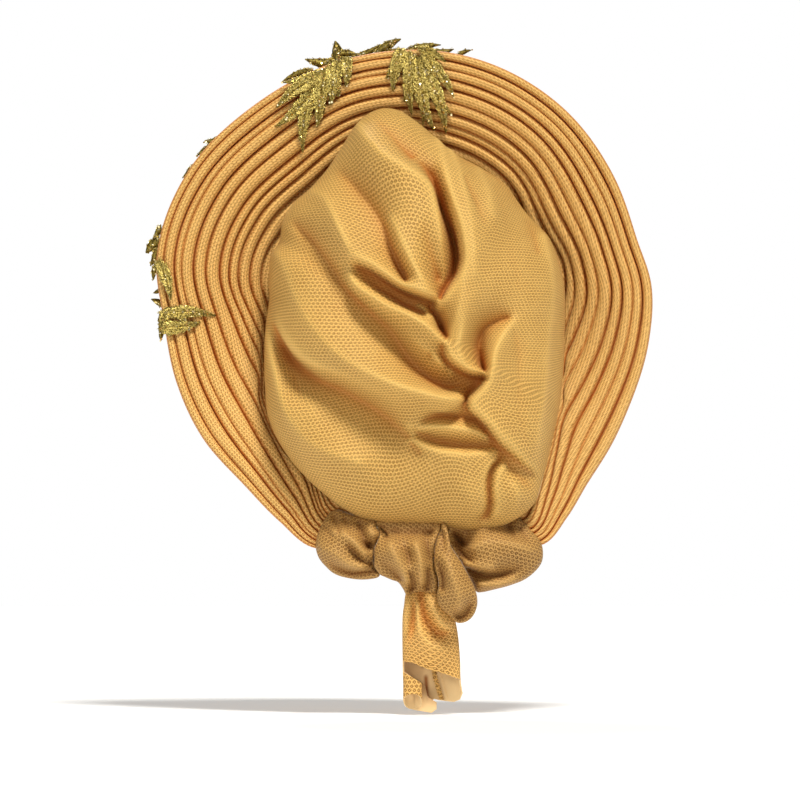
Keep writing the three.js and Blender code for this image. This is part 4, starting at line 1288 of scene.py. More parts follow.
BAG_LINES: tuple[Line, ...] = (
    # left lip of the trench
    ((-30.5, 47.5, 7), (-25.5, 39.5, 11), (-15.5, 28, 12.5), (-4, 20.5, 13.5), (7.5, 13, 13.5),
     (15.5, 6, 11.5), (18.5, -3, 11), (21, -14, 9), (22.5, -25.5, 5.5), (23.5, -37, -2), (24.5, -48, -9),
     (23, -59, -14.5)),
    # valley left of the tall facet
    ((-47.5, 20.5, 0), (-39, 13, -7), (-29.5, 3, -11), (-20.5, -8.5, -11.5), (-14, -20.5, -11),
     (-9.5, -33.5, -11), (-5, -43.5, -11), (-0.5, -52.5, -8)),
    # hollow of the top facet
    ((-18, 48.5, -1), (-9.5, 40.5, -5.5), (-1.5, 32, -8), (4.5, 26, -10)),
    # top of the right panel's edge
    ((17.5, 43, 3.5), (20.5, 38, 7), (22, 32, 10), (23, 20.5, 11.5), (25, 7.5, 13.5), (28, -3, 14.5),
     (31.5, -13, 15.5), (34, -25.5, 15.5), (35, -37, 14.5), (34.5, -45, 13.5), (32, -51, 10),
     (27.5, -58, 6.5), (23, -64.5, 3.5), (20, -70, -2)),
    # floor of the trench
    ((9, 23, -3.5), (15.5, 15.5, -9), (20, 5, -14.5), (23, -5, -20), (26, -14, -19), (30, -23, -21.5),
     (32.5, -32, -22.5), (33, -39.5, -21.5), (30, -49.5, -20), (25.5, -57, -18), (22, -64, -16)),
    # corner of the panel beside the meeting
    ((35, -46, 13.5), (35, -55.5, 13.5), (34, -65.5, 12.5), (32, -74, 11), (29.5, -82.5, 7), (27, -89, 3.5)),
    # dark crease at the meeting
    ((16, -70, -16), (18.5, -75.5, -18), (22, -82, -17), (25.5, -88.5, -9)),
    # hem of the tongue
    ((25.5, -93, 5.5), (26, -98, 7), (29, -102.5, 9), (34.5, -106.5, 10), (41.5, -110, 10), (47.5, -110.5, 7),
     (50.5, -110.5, 3.5)),
    # crease under the tongue
    ((22.5, -93.5, -2), (23.5, -100, -7), (27, -105.5, -11), (33.5, -110, -13.5), (41, -113.5, -16),
     (49.5, -115, -16)),
    # crest of the tongue
    ((39.5, -62.5, 12.5), (36.5, -73.5, 11.5), (34, -86.5, 11), (32.5, -96, 10), (36, -103, 10)),
    # gather in the tongue
    ((64, -76, 0), (56.5, -78.5, -4.5), (50.5, -82.5, -7), (47.5, -88.5, -10), (46.5, -96, -11.5),
     (48, -103, -12.5), (49.5, -109, -12.5)),
    # panel's edge beside the tongue
    ((67, -78, 9), (61.5, -85, 11.5), (56.5, -93, 14.5), (53.5, -100.5, 15.5), (52.5, -107.5, 15.5),
     (51, -114, 14.5), (47.5, -119.5, 12.5), (43, -124.5, 11), (39.5, -128, 8)),
    # pit below the tongue
    ((47.5, -118, -16), (43.5, -122, -15.5), (39, -126, -13.5), (36.5, -129.5, -11.5)),
    # edge of the panel down the seam
    ((39.5, -129.5, 7), (42, -133.5, 9), (46.5, -137.5, 10), (51.5, -142.5, 11), (56.5, -149, 11),
     (61.5, -154, 10), (66.5, -158.5, 9), (72.5, -164.5, 7), (78.5, -170, 5.5), (85, -176, 2)),
    # crease below the panel's edge
    ((36.5, -132, -7), (39, -135.5, -7), (43.5, -140, -9), (48.5, -144.5, -11), (53, -150.5, -11),
     (58, -156, -10), (63, -161, -9), (68, -164.5, -5.5), (74, -169.5, -2.5), (81.5, -175.5, -1)),
    # upper lip of the low pocket
    ((-35, -37, 9), (-29, -39, 11), (-20.5, -43.5, 11.5), (-11.5, -49.5, 12.5), (-4, -54.5, 12.5),
     (4, -58, 11.5), (11.5, -61, 10), (18, -63.5, 5.5)),
    # bottom of the low pocket
    ((-33.5, -43.5, 0), (-27, -46, -9), (-19, -50.5, -12.5), (-11.5, -55.5, -14.5), (-4.5, -60, -16),
     (3, -63.5, -17), (11, -65.5, -16), (16.5, -67.5, -16)),
    # floor of the low pocket
    ((-25.5, -51, -7), (-18, -56.5, -11), (-10, -61.5, -13.5), (-2.5, -66.5, -15.5), (5, -70, -16),
     (13, -73, -12.5)),
    # lower lip of the low pocket
    ((-36, -48, 2), (-33.5, -54, 6.5), (-27.5, -59, 10), (-19, -64, 11.5), (-11, -69, 12.5), (-3, -72, 12.5),
     (4, -75, 11.5), (9.5, -78.5, 11), (15.5, -83, 10), (20.5, -87.5, 7), (24, -92, 5.5)),
    # ruck below the meeting
    ((6.5, -69, -11), (11.5, -71.5, -4.5), (16, -76, -2), (20, -81.5, -5.5)),
    # crest of the upper fold
    ((-60, 5, 5.5), (-51, 0, 9), (-46, -9.5, 12.5), (-41, -21, 14.5), (-36, -32, 12.5)),
    # small crest beside the trench
    ((-9, -14, 2.5), (-4.5, -24.5, 7), (-0.5, -33.5, 9), (4, -42, 10), (9, -50.5, 10), (14.5, -57.5, 7)),
    # slope into the trench
    ((11.5, -16, 5.5), (14, -29, 0), (18, -41.5, -5.5), (20.5, -52.5, -12.5)),
    # long valley on the left
    ((-74, -11.5, -2), (-68.5, -19, -11), (-61.5, -26, -14.5), (-54, -36, -13.5), (-46.5, -46, -12.5),
     (-39.5, -56.5, -11.5), (-31.5, -65.5, -11), (-22, -74, -11), (-12, -82.5, -11.5), (-4, -93.5, -13.5),
     (2.5, -103, -14.5), (11.5, -112, -14.5), (20.5, -118, -15.5), (30, -119, -16), (38.5, -116.5, -15.5)),
    # ruck over the big roll
    ((11.5, -96, -3.5), (20.5, -103.5, -5.5), (29.5, -110.5, -9)),
    # roll between the pocket and the valley
    ((-0.5, -83, 2), (9, -93, 2), (16.5, -100, 0), (23.5, -106, -2)),
    # crest of the left roll
    ((-82, -33.5, 2), (-77, -45, 5.5), (-71.5, -57.5, 9), (-66, -69, 11.5), (-59, -79.5, 13.5),
     (-50, -91, 14.5), (-39.5, -101, 15.5), (-29, -108, 16), (-16.5, -114, 17), (-4, -119, 18),
     (9, -122.5, 18), (22, -126, 17), (31.5, -127.5, 14.5), (36.5, -128.5, 7)),
    # under side of the left roll
    ((-81.5, -75.5, 5.5), (-78, -84.5, 8), (-73.5, -92, 10), (-67, -99, 10), (-58, -105, 9), (-46, -109.5, 8),
     (-32, -115, 7), (-16.5, -122, 9), (-1.5, -127.5, 10), (11.5, -131, 9), (23, -134, 5.5), (32, -135, -2)),
    # dark crease on the left
    ((-84.5, -79.5, 0), (-82, -87, -9), (-78, -95.5, -18), (-73.5, -102.5, -21.5), (-68, -108, -20.5),
     (-60, -113.5, -18), (-51, -118, -16), (-41, -122, -15.5), (-30, -128, -15.5), (-19, -134.5, -14.5),
     (-9, -142, -12.5), (-2.5, -148, -9), (3, -153.5, -5.5), (9, -161.5, -2)),
    # left edge
    ((-89, -83, 2), (-86.5, -96, 5.5), (-83, -109.5, 7), (-79.5, -124, 8), (-75, -137, 9), (-67, -148.5, 9),
     (-56.5, -157.5, 9), (-42, -163, 9), (-28, -167.5, 8)),
    # dent below the dark crease
    ((-71.5, -112.5, -12.5), (-68, -120.5, -7), (-63.5, -128, -2), (-56.5, -137.5, 2)),
    # first puff crease
    ((10, -141.5, 0), (16.5, -139, -4.5), (23.5, -137.5, -8), (32.5, -138.5, -10), (39.5, -139, -11.5),
     (45, -140.5, -13.5)),
    # first puff
    ((7.5, -145.5, 2.5), (16.5, -144, 4.5), (25.5, -144.5, 5.5), (34.5, -146, 4.5), (43.5, -147, 2),
     (52, -151, -3.5)),
    # second puff crease
    ((1.5, -144, 2), (7.5, -148.5, -3.5), (15.5, -152.5, -7), (25, -155, -9), (34.5, -156.5, -9),
     (44, -157, -9), (54, -157, -9), (61, -158.5, -10)),
    # second puff
    ((2.5, -153, 2.5), (11.5, -157, 4.5), (22.5, -160, 5.5), (36, -161.5, 5.5), (47.5, -161, 3.5),
     (55.5, -160.5, 0)),
    # left side of the bottom seam
    ((56.5, -166, 1), (52, -171, 2.5), (49.5, -177.5, 3.5), (49, -185, 3.5), (49.5, -192.5, 2.5),
     (46.5, -199.5, 1)),
    # third puff
    ((22, -174, 4.5), (33.5, -179, 4.5), (41, -188, 5.5), (43.5, -197, 3.5)),
    # bottom seam
    ((61, -161.5, -9), (57.5, -166, -7), (54.5, -169.5, -6.5), (52.5, -175.5, -6.5), (52, -183, -6.5),
     (53, -190.5, -7), (52.5, -197, -8), (50.5, -201, -7), (47.5, -203.5, -3.5)),
    # roll right of the bottom seam
    ((62, -168.5, 1), (57.5, -175.5, 3.5), (56, -184.5, 4.5), (56.5, -194, 3.5), (55.5, -201, 2)),
    # gather below the panel's end
    ((61.5, -164.5, -6.5), (66, -170, -5.5), (71.5, -176, -3.5), (78, -183, -1)),
    # puff below the panel's end
    ((68, -180.5, 4.5), (70.5, -189, 5.5), (68, -197, 2.5)),
    # crest of the right panel
    ((27.5, 32, 11), (32, 19, 13.5), (36, 6.5, 16), (38.5, -6.5, 18), (40.5, -20.5, 19), (41.5, -36, 19),
     (42, -51, 17)),
    # fine fold of the right panel
    ((36, 12, 11), (39.5, 4, 11), (45, -6.5, 11.5), (48.5, -18, 13.5)),
    # light flute
    ((46, 18, 7), (51, 3, 12.5), (54, -13, 14.5)),
    # flute of the right panel
    ((55, 11.5, 4.5), (60, -4, 6.5), (64.5, -23, 7), (68, -42, 8), (71, -64, 9)),
    # crest of the right side
    ((86.5, -23, 5.5), (90, -39.5, 11), (91.5, -59, 13.5), (90, -78, 14.5), (87.5, -97.5, 15.5),
     (86.5, -116.5, 15.5), (84.5, -135.5, 14.5), (82, -153.5, 11.5), (82, -167.5, 5.5)),
    # small tuck at the upper right
    ((76, -10, 2), (78.5, -16.5, 0), (80.5, -23, 0), (83, -34.5, 3.5)),
    # shade down the panel
    ((67, -84.5, 9), (70, -97.5, 9), (70.5, -112.5, 10), (70.5, -129.5, 10), (71.5, -144, 10),
     (76, -158.5, 9)),
)


@dataclass
class CrownBag:
    """The loose bag over the crown and the back of the head, sewn onto the pleats.

    Attributes:
        centre: Right and up of the middle that its angles are about.
        back: Place of its rearmost point along Y.
        rings_back: Rings of samples on its rear part.
        rings_front: Rings on the part that follows the pleats. With rings_back it has to make an even number,
            because the inner face takes every second ring and has to end on the last one.
        sewn_at: Share of the pleats' width at which it is sewn on.
        sewn_inside: Least width of the part that follows the pleats.
        sewn_over: Shares of the front part over which it comes down on the pleats.
        lifts_over: Share of the front part over which it turns from straight back to square to the pleats.
        flatness: Power that makes its rear flat or pointed.
        fade: Share of the rear, at the widest line, over which the folds fade out.
        steady: Samples to either side over which the figures' run is evened.
        evened: Share of that run beside the mean one.
        straight: Share by which the folds stand straight back.
        stitches_at: Share of the front part at which the stitches lie.
    """

    wardrobe: Wardrobe
    centre: tuple[float, float] = (15.4, -83.2)
    back: float = 114.0
    wall: float = 1.6
    steps_round: int = 470
    rings_back: int = 142
    rings_front: int = 14
    sewn_at: float = 0.84
    sewn_inside: float = 6.0
    gap: float = 1.9
    sewn_gap: float = 0.8
    sewn_over: tuple[float, float] = (0.5, 0.95)
    lifts_over: float = 0.25
    flatness: float = 0.9
    fade: float = 0.1
    pole_turn: float = 1e-4
    cloth_scale: float = 0.92
    steady: int = 9
    evened: float = 0.65
    straight: float = 0.85
    # Painted shade laid evenly on the inner face.
    inside_deep: float = 0.1
    stitches_at: float = 0.985
    stitches_inside: float = 1.4

    def front(self, angles: Array, shares: Array) -> Array:
        """Points of the part that follows the pleats forward.

        Args:
            angles: Angles about the bag, in degrees.
            shares: From 0 on its widest line to 1 on its sewn edge.

        Returns:
            Points by angle and share.
        """
        lift = BAG_OUTLINE.at("lift", angles)[:, None]
        outline = on_plane(angles, BAG_OUTLINE.at("radius", angles), 0.0, self.centre)
        brim_angle, brim_radius = from_brim(outline)
        lines = BrimLines(brim_angle)
        start = lines.length_at(brim_radius)
        end = np.maximum(lines.total * self.sewn_at, start + self.sewn_inside)
        lengths = np.minimum(mix(start[:, None], end[:, None], shares[None, :]), lines.total[:, None])
        row_width = np.diff(lines.valleys()[:, -2:], axis=1)
        sewn_stand = (pleat_depth(row_width) + BRIM_WALL_THICKEST) / 2 + self.sewn_gap
        loose_stand = (PLEAT_DEPTH_MOST + BRIM_WALL_THICKEST) / 2 + self.gap + lift * (1 - shares) ** 2
        stand = mix(loose_stand, np.minimum(sewn_stand, loose_stand), ease(shares, *self.sewn_over))
        square = ease(shares, 0, self.lifts_over)
        place = lines.point(lengths) + lines.normal(lengths) * (stand * square)[..., None]
        return on_plane(brim_angle[:, None], place[..., 0], place[..., 1] + stand * (1 - square))

    def dome(self, angles: Array) -> tuple[Array, Array, Array]:
        """Rear part of the bag.

        Args:
            angles: Angles about the bag, in degrees.

        Returns:
            Points of the outer and of the inner face and the painted shading of each point of the outer face,
            by ring and angle, from the pole out.
        """
        turns = np.linspace(0, QUARTER_TURN, self.rings_back + 1)[:-1, None]
        turns[0] = self.pole_turn
        radius = BAG_OUTLINE.at("radius", angles)
        outline = on_plane(angles, radius, 0.0, self.centre)
        terrain = Terrain(np.stack([-outline[:, 0], outline[:, 2]], axis=1), BAG_LINES)
        widest = self.front(angles, np.zeros(1))[:, 0, 1][None, :]
        back = mix(widest, self.back, np.cos(turns) ** self.flatness)
        points = on_plane(angles[None, :], radius[None, :] * np.sin(turns), back, self.centre)
        out = turned_back(outward(points), self.straight)
        fade = ease(1 - turns / QUARTER_TURN, 0, self.fade)
        # The third layer read is painted shading: shade in creases, highlight on crests.
        height, floor, painted_shading_amount = (
            terrain.read(layer, points) * fade for layer in (terrain.height, terrain.floor, terrain.painted_shading_layer)
        )
        return points + out * height[..., None], points + out * (floor - self.wall)[..., None], painted_shading_amount

    def figures(self, outer: Array, angles: Array) -> Array:
        """Lays the figures out from the pole, evened so that no crease tears them.

        Args:
            outer: Points of the outer face, by ring and angle.
            angles: Angles about the bag, in degrees.

        Returns:
            UVs, with the first column repeated.
        """
        run = run_of(outer)
        reach = range(-self.steady, self.steady + 1)
        steady = np.mean([np.roll(run, shift, axis=1) for shift in reach], axis=0)
        run = closed(mix(run.mean(axis=1, keepdims=True), steady, self.evened)) * self.cloth_scale * MM
        turn = np.append(angles, 180.0) * DEGREE
        return np.stack([run * np.sin(turn), run * np.cos(turn)], axis=-1)

    def cloth(self) -> Piece:
        """Makes the bag: its outer face, its inner face, half as fine, and the edge between them.

        Returns:
            The cloth.
        """
        angles = np.linspace(-180, 180, self.steps_round, endpoint=False)
        rear, rear_inside, painted_shading_amount = self.dome(angles)
        front = np.swapaxes(self.front(angles, np.linspace(0, 1, self.rings_front + 1)), 0, 1)
        outer = np.vstack([rear, front])
        # Painted shading on the outer face; none on the part that follows the pleats.
        deep = np.vstack([painted_shading_amount, np.zeros(front.shape[:2])])
        uv = self.figures(outer, angles)
        forward = outward(np.vstack([rear_inside[-1:], front]))[1:]
        inner = np.vstack([rear_inside, front - forward * self.wall])[2::2, ::2]
        shell = Shell()
        index = closed(shell.scatter(outer[1:], deep=deep[1:]))
        pole = shell.scatter(outer[0, :1], deep=deep[0, :1])[0]
        shell.weave(index, uv[1:])
        shell.fan(pole, index[0][::-1], uv[0, 0], uv[1][::-1])
        inside = closed(shell.scatter(inner, deep=np.full(inner.shape[:2], self.inside_deep)))
        inner_pole = shell.scatter(rear_inside[0, :1], deep=np.full(1, self.inside_deep))[0]
        shell.weave(inside[:, ::-1], uv[2::2, ::2][:, ::-1], 1)
        shell.fan(inner_pole, inside[0], uv[0, 0], uv[2, ::2], 1)
        self.close_edge(shell, index[-1], inside[-1], uv[-1])
        return shell.piece("crown_bag_cloth", [self.wardrobe.bag, self.wardrobe.lining])

    @staticmethod
    def close_edge(shell: Shell, outer: Array, inner: Array, uv: Array) -> None:
        """Joins the fine edge of the outer face to the coarser one of the inner face.

        Args:
            shell: The mesh.
            outer: Indexes of the outer edge.
            inner: Indexes of the inner edge.
            uv: Places in the cloth of the outer edge.
        """
        faces, corners = [], []
        for k in range(len(inner) - 1):
            a, b, c = 2 * k, 2 * k + 1, 2 * k + 2
            faces += [
                (outer[b], inner[k], outer[a]),
                (outer[b], inner[k + 1], inner[k]),
                (outer[c], inner[k + 1], outer[b]),
            ]
            corners += [(b, a, a), (b, c, a), (c, c, b)]
        shell.patch(np.array(faces), uv[np.array(corners)], 1)

    def build(self) -> list[Piece]:
        """Makes the bag and the stitches along its edge.

        Returns:
            The pieces.
        """
        cloth = settle(self.cloth(), ["crown_bag"])
        edge = self.front(np.linspace(-180, 180, 181), np.array([self.stitches_at]))[:, 0]
        inward = unit(np.array([[-self.centre[0], 0, self.centre[1]]]) - edge * [1, 0, 1])
        lines = [edge + inward * self.stitches_inside]
        stitches = Stitching(3.2, 1.9, 0.5).sew(lines, "bag_edge_stitches", self.wardrobe.stitch)
        return [cloth, settle(stitches)]


@dataclass
class Bundle:
    """A closed bundle of wound cloth, plump inside the outline that it has from behind.

    Attributes:
        node: CAD node that it stands for.
        outline: Right and up of its edge.
        centre: Right and up of its middle.
        back: Place of its middle along Y.
        lean: Rise of its middle plane along Y for each millimetre to the right.
        droop: How far the middle plane falls back towards its top and its bottom.
        depth: Its depth behind and before the middle plane.
        lines: Lines of right, up and height of its folds.
        turn_of_cloth: Degrees that its figures are turned.
        rings: Rings of samples on its two halves, the one seen from behind first.
        plumpness: Power that makes its edge round or sharp.
        straight: Share by which its folds stand straight back.
        fade: Share of its radius, at the edge, over which the folds fade out.
    """

    name: str
    node: str
    outline: Rows
    centre: tuple[float, float]
    back: float
    lean: float
    droop: tuple[float, float]
    depth: tuple[float, float]
    lines: tuple[Line, ...]
    fill: float = 0.7
    turn_of_cloth: float = 25.0
    sides: int = 168
    rings: tuple[int, int] = (48, 16)
    plumpness: float = 0.5
    straight: float = 0.7
    fade: float = 0.12
    pole_turn: float = 1e-3
    # Painted shade laid evenly on the front half.
    front_deep: float = 0.15

    def radii(self, corners: Array, angles: Array) -> Array:
        """Distance from the centre to the edge.

        Args:
            corners: Right and up of the corners of the edge.
            angles: Angles in degrees.

        Returns:
            One distance for each angle.
        """
        away = corners - np.array(self.centre)
        around = np.degrees(np.arctan2(away[:, 0], away[:, 1]))
        order = np.argsort(around)
        return np.interp(angles, around[order], np.hypot(*away.T)[order], period=360)

    def face(self, turns: Array, angles: Array, radius: Array, depth: float) -> Array:
        """Points of one half of the bundle.

        Args:
            turns: Turn of each ring, from 0 at the pole.
            angles: Angles in degrees.
            radius: Distance to the edge at each angle.
            depth: Depth of the half, less than 0 for the front one.

        Returns:
            Points by ring and angle.
        """
        reach = radius * np.sin(turns)
        right = self.centre[0] + reach * np.sin(angles * DEGREE)
        up = self.centre[1] + reach * np.cos(angles * DEGREE)
        top, bottom = (pick(row[1] for row in self.outline) for pick in (max, min))
        above = np.maximum(up - self.centre[1], 0) / (top - self.centre[1])
        under = np.maximum(self.centre[1] - up, 0) / (self.centre[1] - bottom)
        middle = self.back + self.lean * (right - self.centre[0])
        middle = middle - self.droop[0] * above**2 - self.droop[1] * under**2
        return layered(-right, middle + depth * np.cos(turns) ** self.plumpness, up)

    def build(self, material: Material) -> Piece:
        """Makes the bundle.

        Args:
            material: Its material.

        Returns:
            The piece.
        """
        corners = smooth_line((*self.outline, self.outline[0]), 8)[:-1]
        angles = np.linspace(-180, 180, self.sides, endpoint=False)[None, :]
        halves = []
        for rings, depth in zip(self.rings, (self.depth[0], -self.depth[1])):
            turns = np.linspace(0, QUARTER_TURN, rings + 1)[:, None]
            turns[0] = self.pole_turn
            halves.append((turns, self.face(turns, angles, self.radii(corners, angles), depth)))
        (turns, rear), (_, front) = halves
        terrain = Terrain(corners, self.lines)
        fade = ease(1 - turns / QUARTER_TURN, 0, self.fade)
        height = terrain.read(terrain.height, rear) * fade
        risen = rear + turned_back(outward(rear), self.straight) * height[..., None]
        # The shade goes up and down with the cloth, but not sideways.
        painted_shading_amount = terrain.read(terrain.painted_shading_layer, layered(rear[..., 0], 0.0, risen[..., 2])) * fade
        points = np.vstack([risen[1:], front[-2:0:-1]])
        deep = np.vstack([painted_shading_amount[1:], np.full((len(front) - 2, self.sides), self.front_deep)])
        run = closed(run_of(points) + 1) * MM
        way = (np.append(angles[0], 180.0) + self.turn_of_cloth) * DEGREE
        uv = np.stack([run * np.sin(way), run * np.cos(way)], axis=-1)
        shell = Shell()
        body = closed(shell.scatter(points, deep=deep))
        poles = np.stack([risen[0, 0], front[0, 0]])
        ends = shell.scatter(poles, deep=np.array([painted_shading_amount[0, 0], self.front_deep]))
        shell.weave(body, uv)
        shell.fan(ends[0], body[0][::-1], np.zeros(2), uv[0][::-1])
        shell.fan(ends[1], body[-1], np.zeros(2), uv[-1])
        piece = settle(shell.piece(self.name, [material]), [self.node])
        return piece


WRAP_LEFT: Rows = (
    (-18.5, -208), (-16.5, -212), (-18, -217), (-20, -222), (-20, -228), (-20, -233), (-16.5, -238),
)
WRAP_RIGHT: Rows = (
    (22, -209.5), (20, -214.5), (18, -221), (17.5, -228), (18, -234), (20, -240), (20.5, -245),
    (19.5, -249.5),
)
LOOP_RIGHT: Rows = (
    (26, -210), (27, -216.5), (29.5, -222), (33.5, -228), (37, -234), (41, -241.5), (44, -248.5),
)
LEFT_LOBE = Bundle(
    name="left_lobe_cloth",
    node="knot_left_lobe",
    outline=(
        (-53, -205.5), (-48.5, -199.5), (-43.5, -197), (-38.5, -198.5), (-32.5, -200.5), (-27, -201.5),
        (-22, -203), (-19, -204), *WRAP_LEFT, (-19, -240.5), (-28, -241.5), (-37, -240.5), (-45, -238),
        (-50.5, -233.5), (-55, -228), (-57, -221.5), (-56.5, -214.5),
    ),
    centre=(-38.5, -221),
    back=75,
    lean=0.22,
    droop=(8, 3),
    depth=(16, 14),
    fill=0.6,
    lines=(
        # lower roll
        ((-48.5, -231.5, -1.5), (-42, -235.5, -5.5), (-34.5, -238, -7), (-27, -237, -7), (-19, -236, -6.5)),
        # crease
        ((-36, -220, -1.5), (-32.5, -224.5, -5.5), (-29, -228.5, -6.5), (-24.5, -230.5, -5.5),
         (-21, -231.5, -5.5)),
        # hollow beside the wrap
        ((-27, -216.5, -6.5), (-23, -221, -9.5), (-20, -219.5, -9.5)),
        # crease from the bag
        ((-29.5, -205, -6.5), (-28, -210.5, -7), (-26, -216.5, -6.5)),
        # small puff
        ((-23, -210, 1.5), (-20.5, -213, 1.5)),
        # crest
        ((-53, -221.5, 3), (-45, -224.5, 5), (-36, -231, 4), (-27, -233.5, 2.5)),
        # upper crest
        ((-46, -211, 3), (-38.5, -212.5, 4), (-32.5, -217.5, 4), (-25.5, -225.5, 2.5)),
        # gather
        ((-46, -200.5, -5), (-44, -205.5, -4), (-42, -212, 0)),
        # second gather
        ((-38.5, -202, -5), (-36.5, -207.5, -3), (-34.5, -212.5, 0)),
        # third gather
        ((-52, -207.5, -3), (-48.5, -212, -1.5), (-46, -217, 1.5)),
    ),
)
RIGHT_LOBE = Bundle(
    name="right_lobe_cloth",
    node="knot_right_lobe",
    outline=(
        (25.5, -205), (32, -203), (38, -202), (43.5, -201.5), (54, -201.5), (63.5, -201), (71.5, -202),
        (79.5, -211), (84.5, -216.5), (86.5, -222.5), (86, -230), (82, -236), (75, -241.5), (66, -245),
        (56.5, -247.5), (47.5, -249.5), *LOOP_RIGHT[::-1],
    ),
    centre=(60, -226),
    back=75,
    lean=-0.2,
    droop=(8, 3),
    depth=(16, 14),
    fill=0.6,
    turn_of_cloth=-15,
    lines=(
        # gap beside the loop
        ((28, -212.5, -13), (32, -215.5, -17.5), (35, -218, -17.5)),
        # hollow under the bag
        ((38.5, -209.5, -9.5), (39, -214.5, -9.5), (37, -219.5, -13)),
        # crease
        ((28, -218, -9.5), (30.5, -222.5, -9), (35, -227, -8), (41, -229.5, -3)),
        # crest
        ((41, -221.5, 1.5), (47.5, -218, 5), (57, -217.5, 5.5), (70, -219.5, 5.5), (79.5, -223.5, 4)),
        # lower crease
        ((37, -235, -5.5), (42, -237.5, -8), (50, -239, -8), (58, -239.5, -7), (64.5, -237.5, -6.5),
         (71.5, -234, -3)),
        # lower roll
        ((45.5, -244, 3), (57, -244, 4), (68, -241, 3)),
        # middle crest
        ((36.5, -230.5, 3), (44, -233, 4), (54, -234, 4)),
        # gather
        ((64.5, -206, -6.5), (67, -210, -5), (69, -214.5, -1.5)),
        # second gather
        ((72.5, -208, -5), (75, -212.5, -3), (76, -217, 0)),
    ),
)
CENTRE_WRAP = Bundle(
    name="centre_wrap_cloth",
    node="knot_centre_wrap",
    outline=(
        (-19, -204), (-10, -203), (-0.5, -203), (9, -203), (18, -203.5), (22.5, -205), *WRAP_RIGHT,
        (15.5, -250), (9, -249), (4, -250), (0.5, -251.5), (-2, -247), (-5, -243), (-9, -241.5),
        (-13.5, -239.5), *WRAP_LEFT[::-1],
    ),
    centre=(0.5, -224),
    back=87,
    lean=0.02,
    droop=(10, 5),
    depth=(12, 8),
    turn_of_cloth=-20,
    lines=(
        # gap beside the lobe
        ((-17.5, -209.5, -13), (-14, -212.5, -14.5)),
        # hollow under the bag
        ((-9, -210, -9.5), (-0.5, -211, -8), (9, -210.5, -9.5), (16.5, -211, -11)),
        # crease
        ((-3, -213, -5.5), (-1.5, -219, -3), (1.5, -225.5, -4), (2.5, -231, -1.5)),
        # second crease
        ((7.5, -209.5, -8), (12, -214.5, -7), (14.5, -221.5, -5), (16.5, -228.5, -3)),
        # crest
        ((-10, -218, 3), (-7, -225.5, 5.5), (-2.5, -233.5, 5.5), (2, -242, 5)),
        # second crest
        ((6, -218, 3), (8.5, -227, 5.5), (10, -237, 5.5), (11, -243, 4)),
        # low crease
        ((-15.5, -230.5, -1.5), (-9, -235.5, -3), (-4, -241.5, -4)),
        # foot crease
        ((2.5, -237.5, -1.5), (4.5, -244, -5.5), (4, -248.5, -6.5)),
        # second foot crease
        ((14.5, -235.5, -2.5), (14, -242.5, -5.5), (13, -248.5, -6.5)),
    ),
)
LOOP = Bundle(
    name="loop_cloth",
    node="knot_loop",
    outline=(
        (22.5, -205), (25.5, -205), *LOOP_RIGHT, (45, -256), (43, -263), (38.5, -267.5), (32.5, -268.5),
        (28, -264.5), (23, -260), (20, -255.5), *WRAP_RIGHT[::-1],
    ),
    centre=(30, -245),
    back=92,
    lean=0,
    droop=(9, 3),
    depth=(11.5, 9),
    fill=0.6,
    turn_of_cloth=15,
    lines=(
        # lip of the loop
        ((29.5, -263, -3), (32.5, -265.5, -6.5), (36.5, -264.5, -7), (39.5, -260.5, -6.5), (41, -255.5, -3)),
        # crest
        ((24.5, -225.5, 3), (28, -237, 5.5), (32.5, -249.5, 5.5), (33.5, -257.5, 4)),
        # left crease
        ((20, -231, -3), (22, -238.5, -5.5), (22, -246, -5)),
        # top crease
        ((22.5, -212, -5), (23.5, -219, -2.5), (26, -225.5, 0)),
    ),
)


@dataclass
class NapeKnot:
    """The knot at the nape: two gathered lobes, the wrap wound over their middle and the hanging loop."""

    wardrobe: Wardrobe
    bundles: tuple[Bundle, ...] = (LEFT_LOBE, RIGHT_LOBE, CENTRE_WRAP, LOOP)

    def build(self) -> list[Piece]:
        """Makes every bundle of the knot."""
        return [bundle.build(self.wardrobe.knot) for bundle in self.bundles]


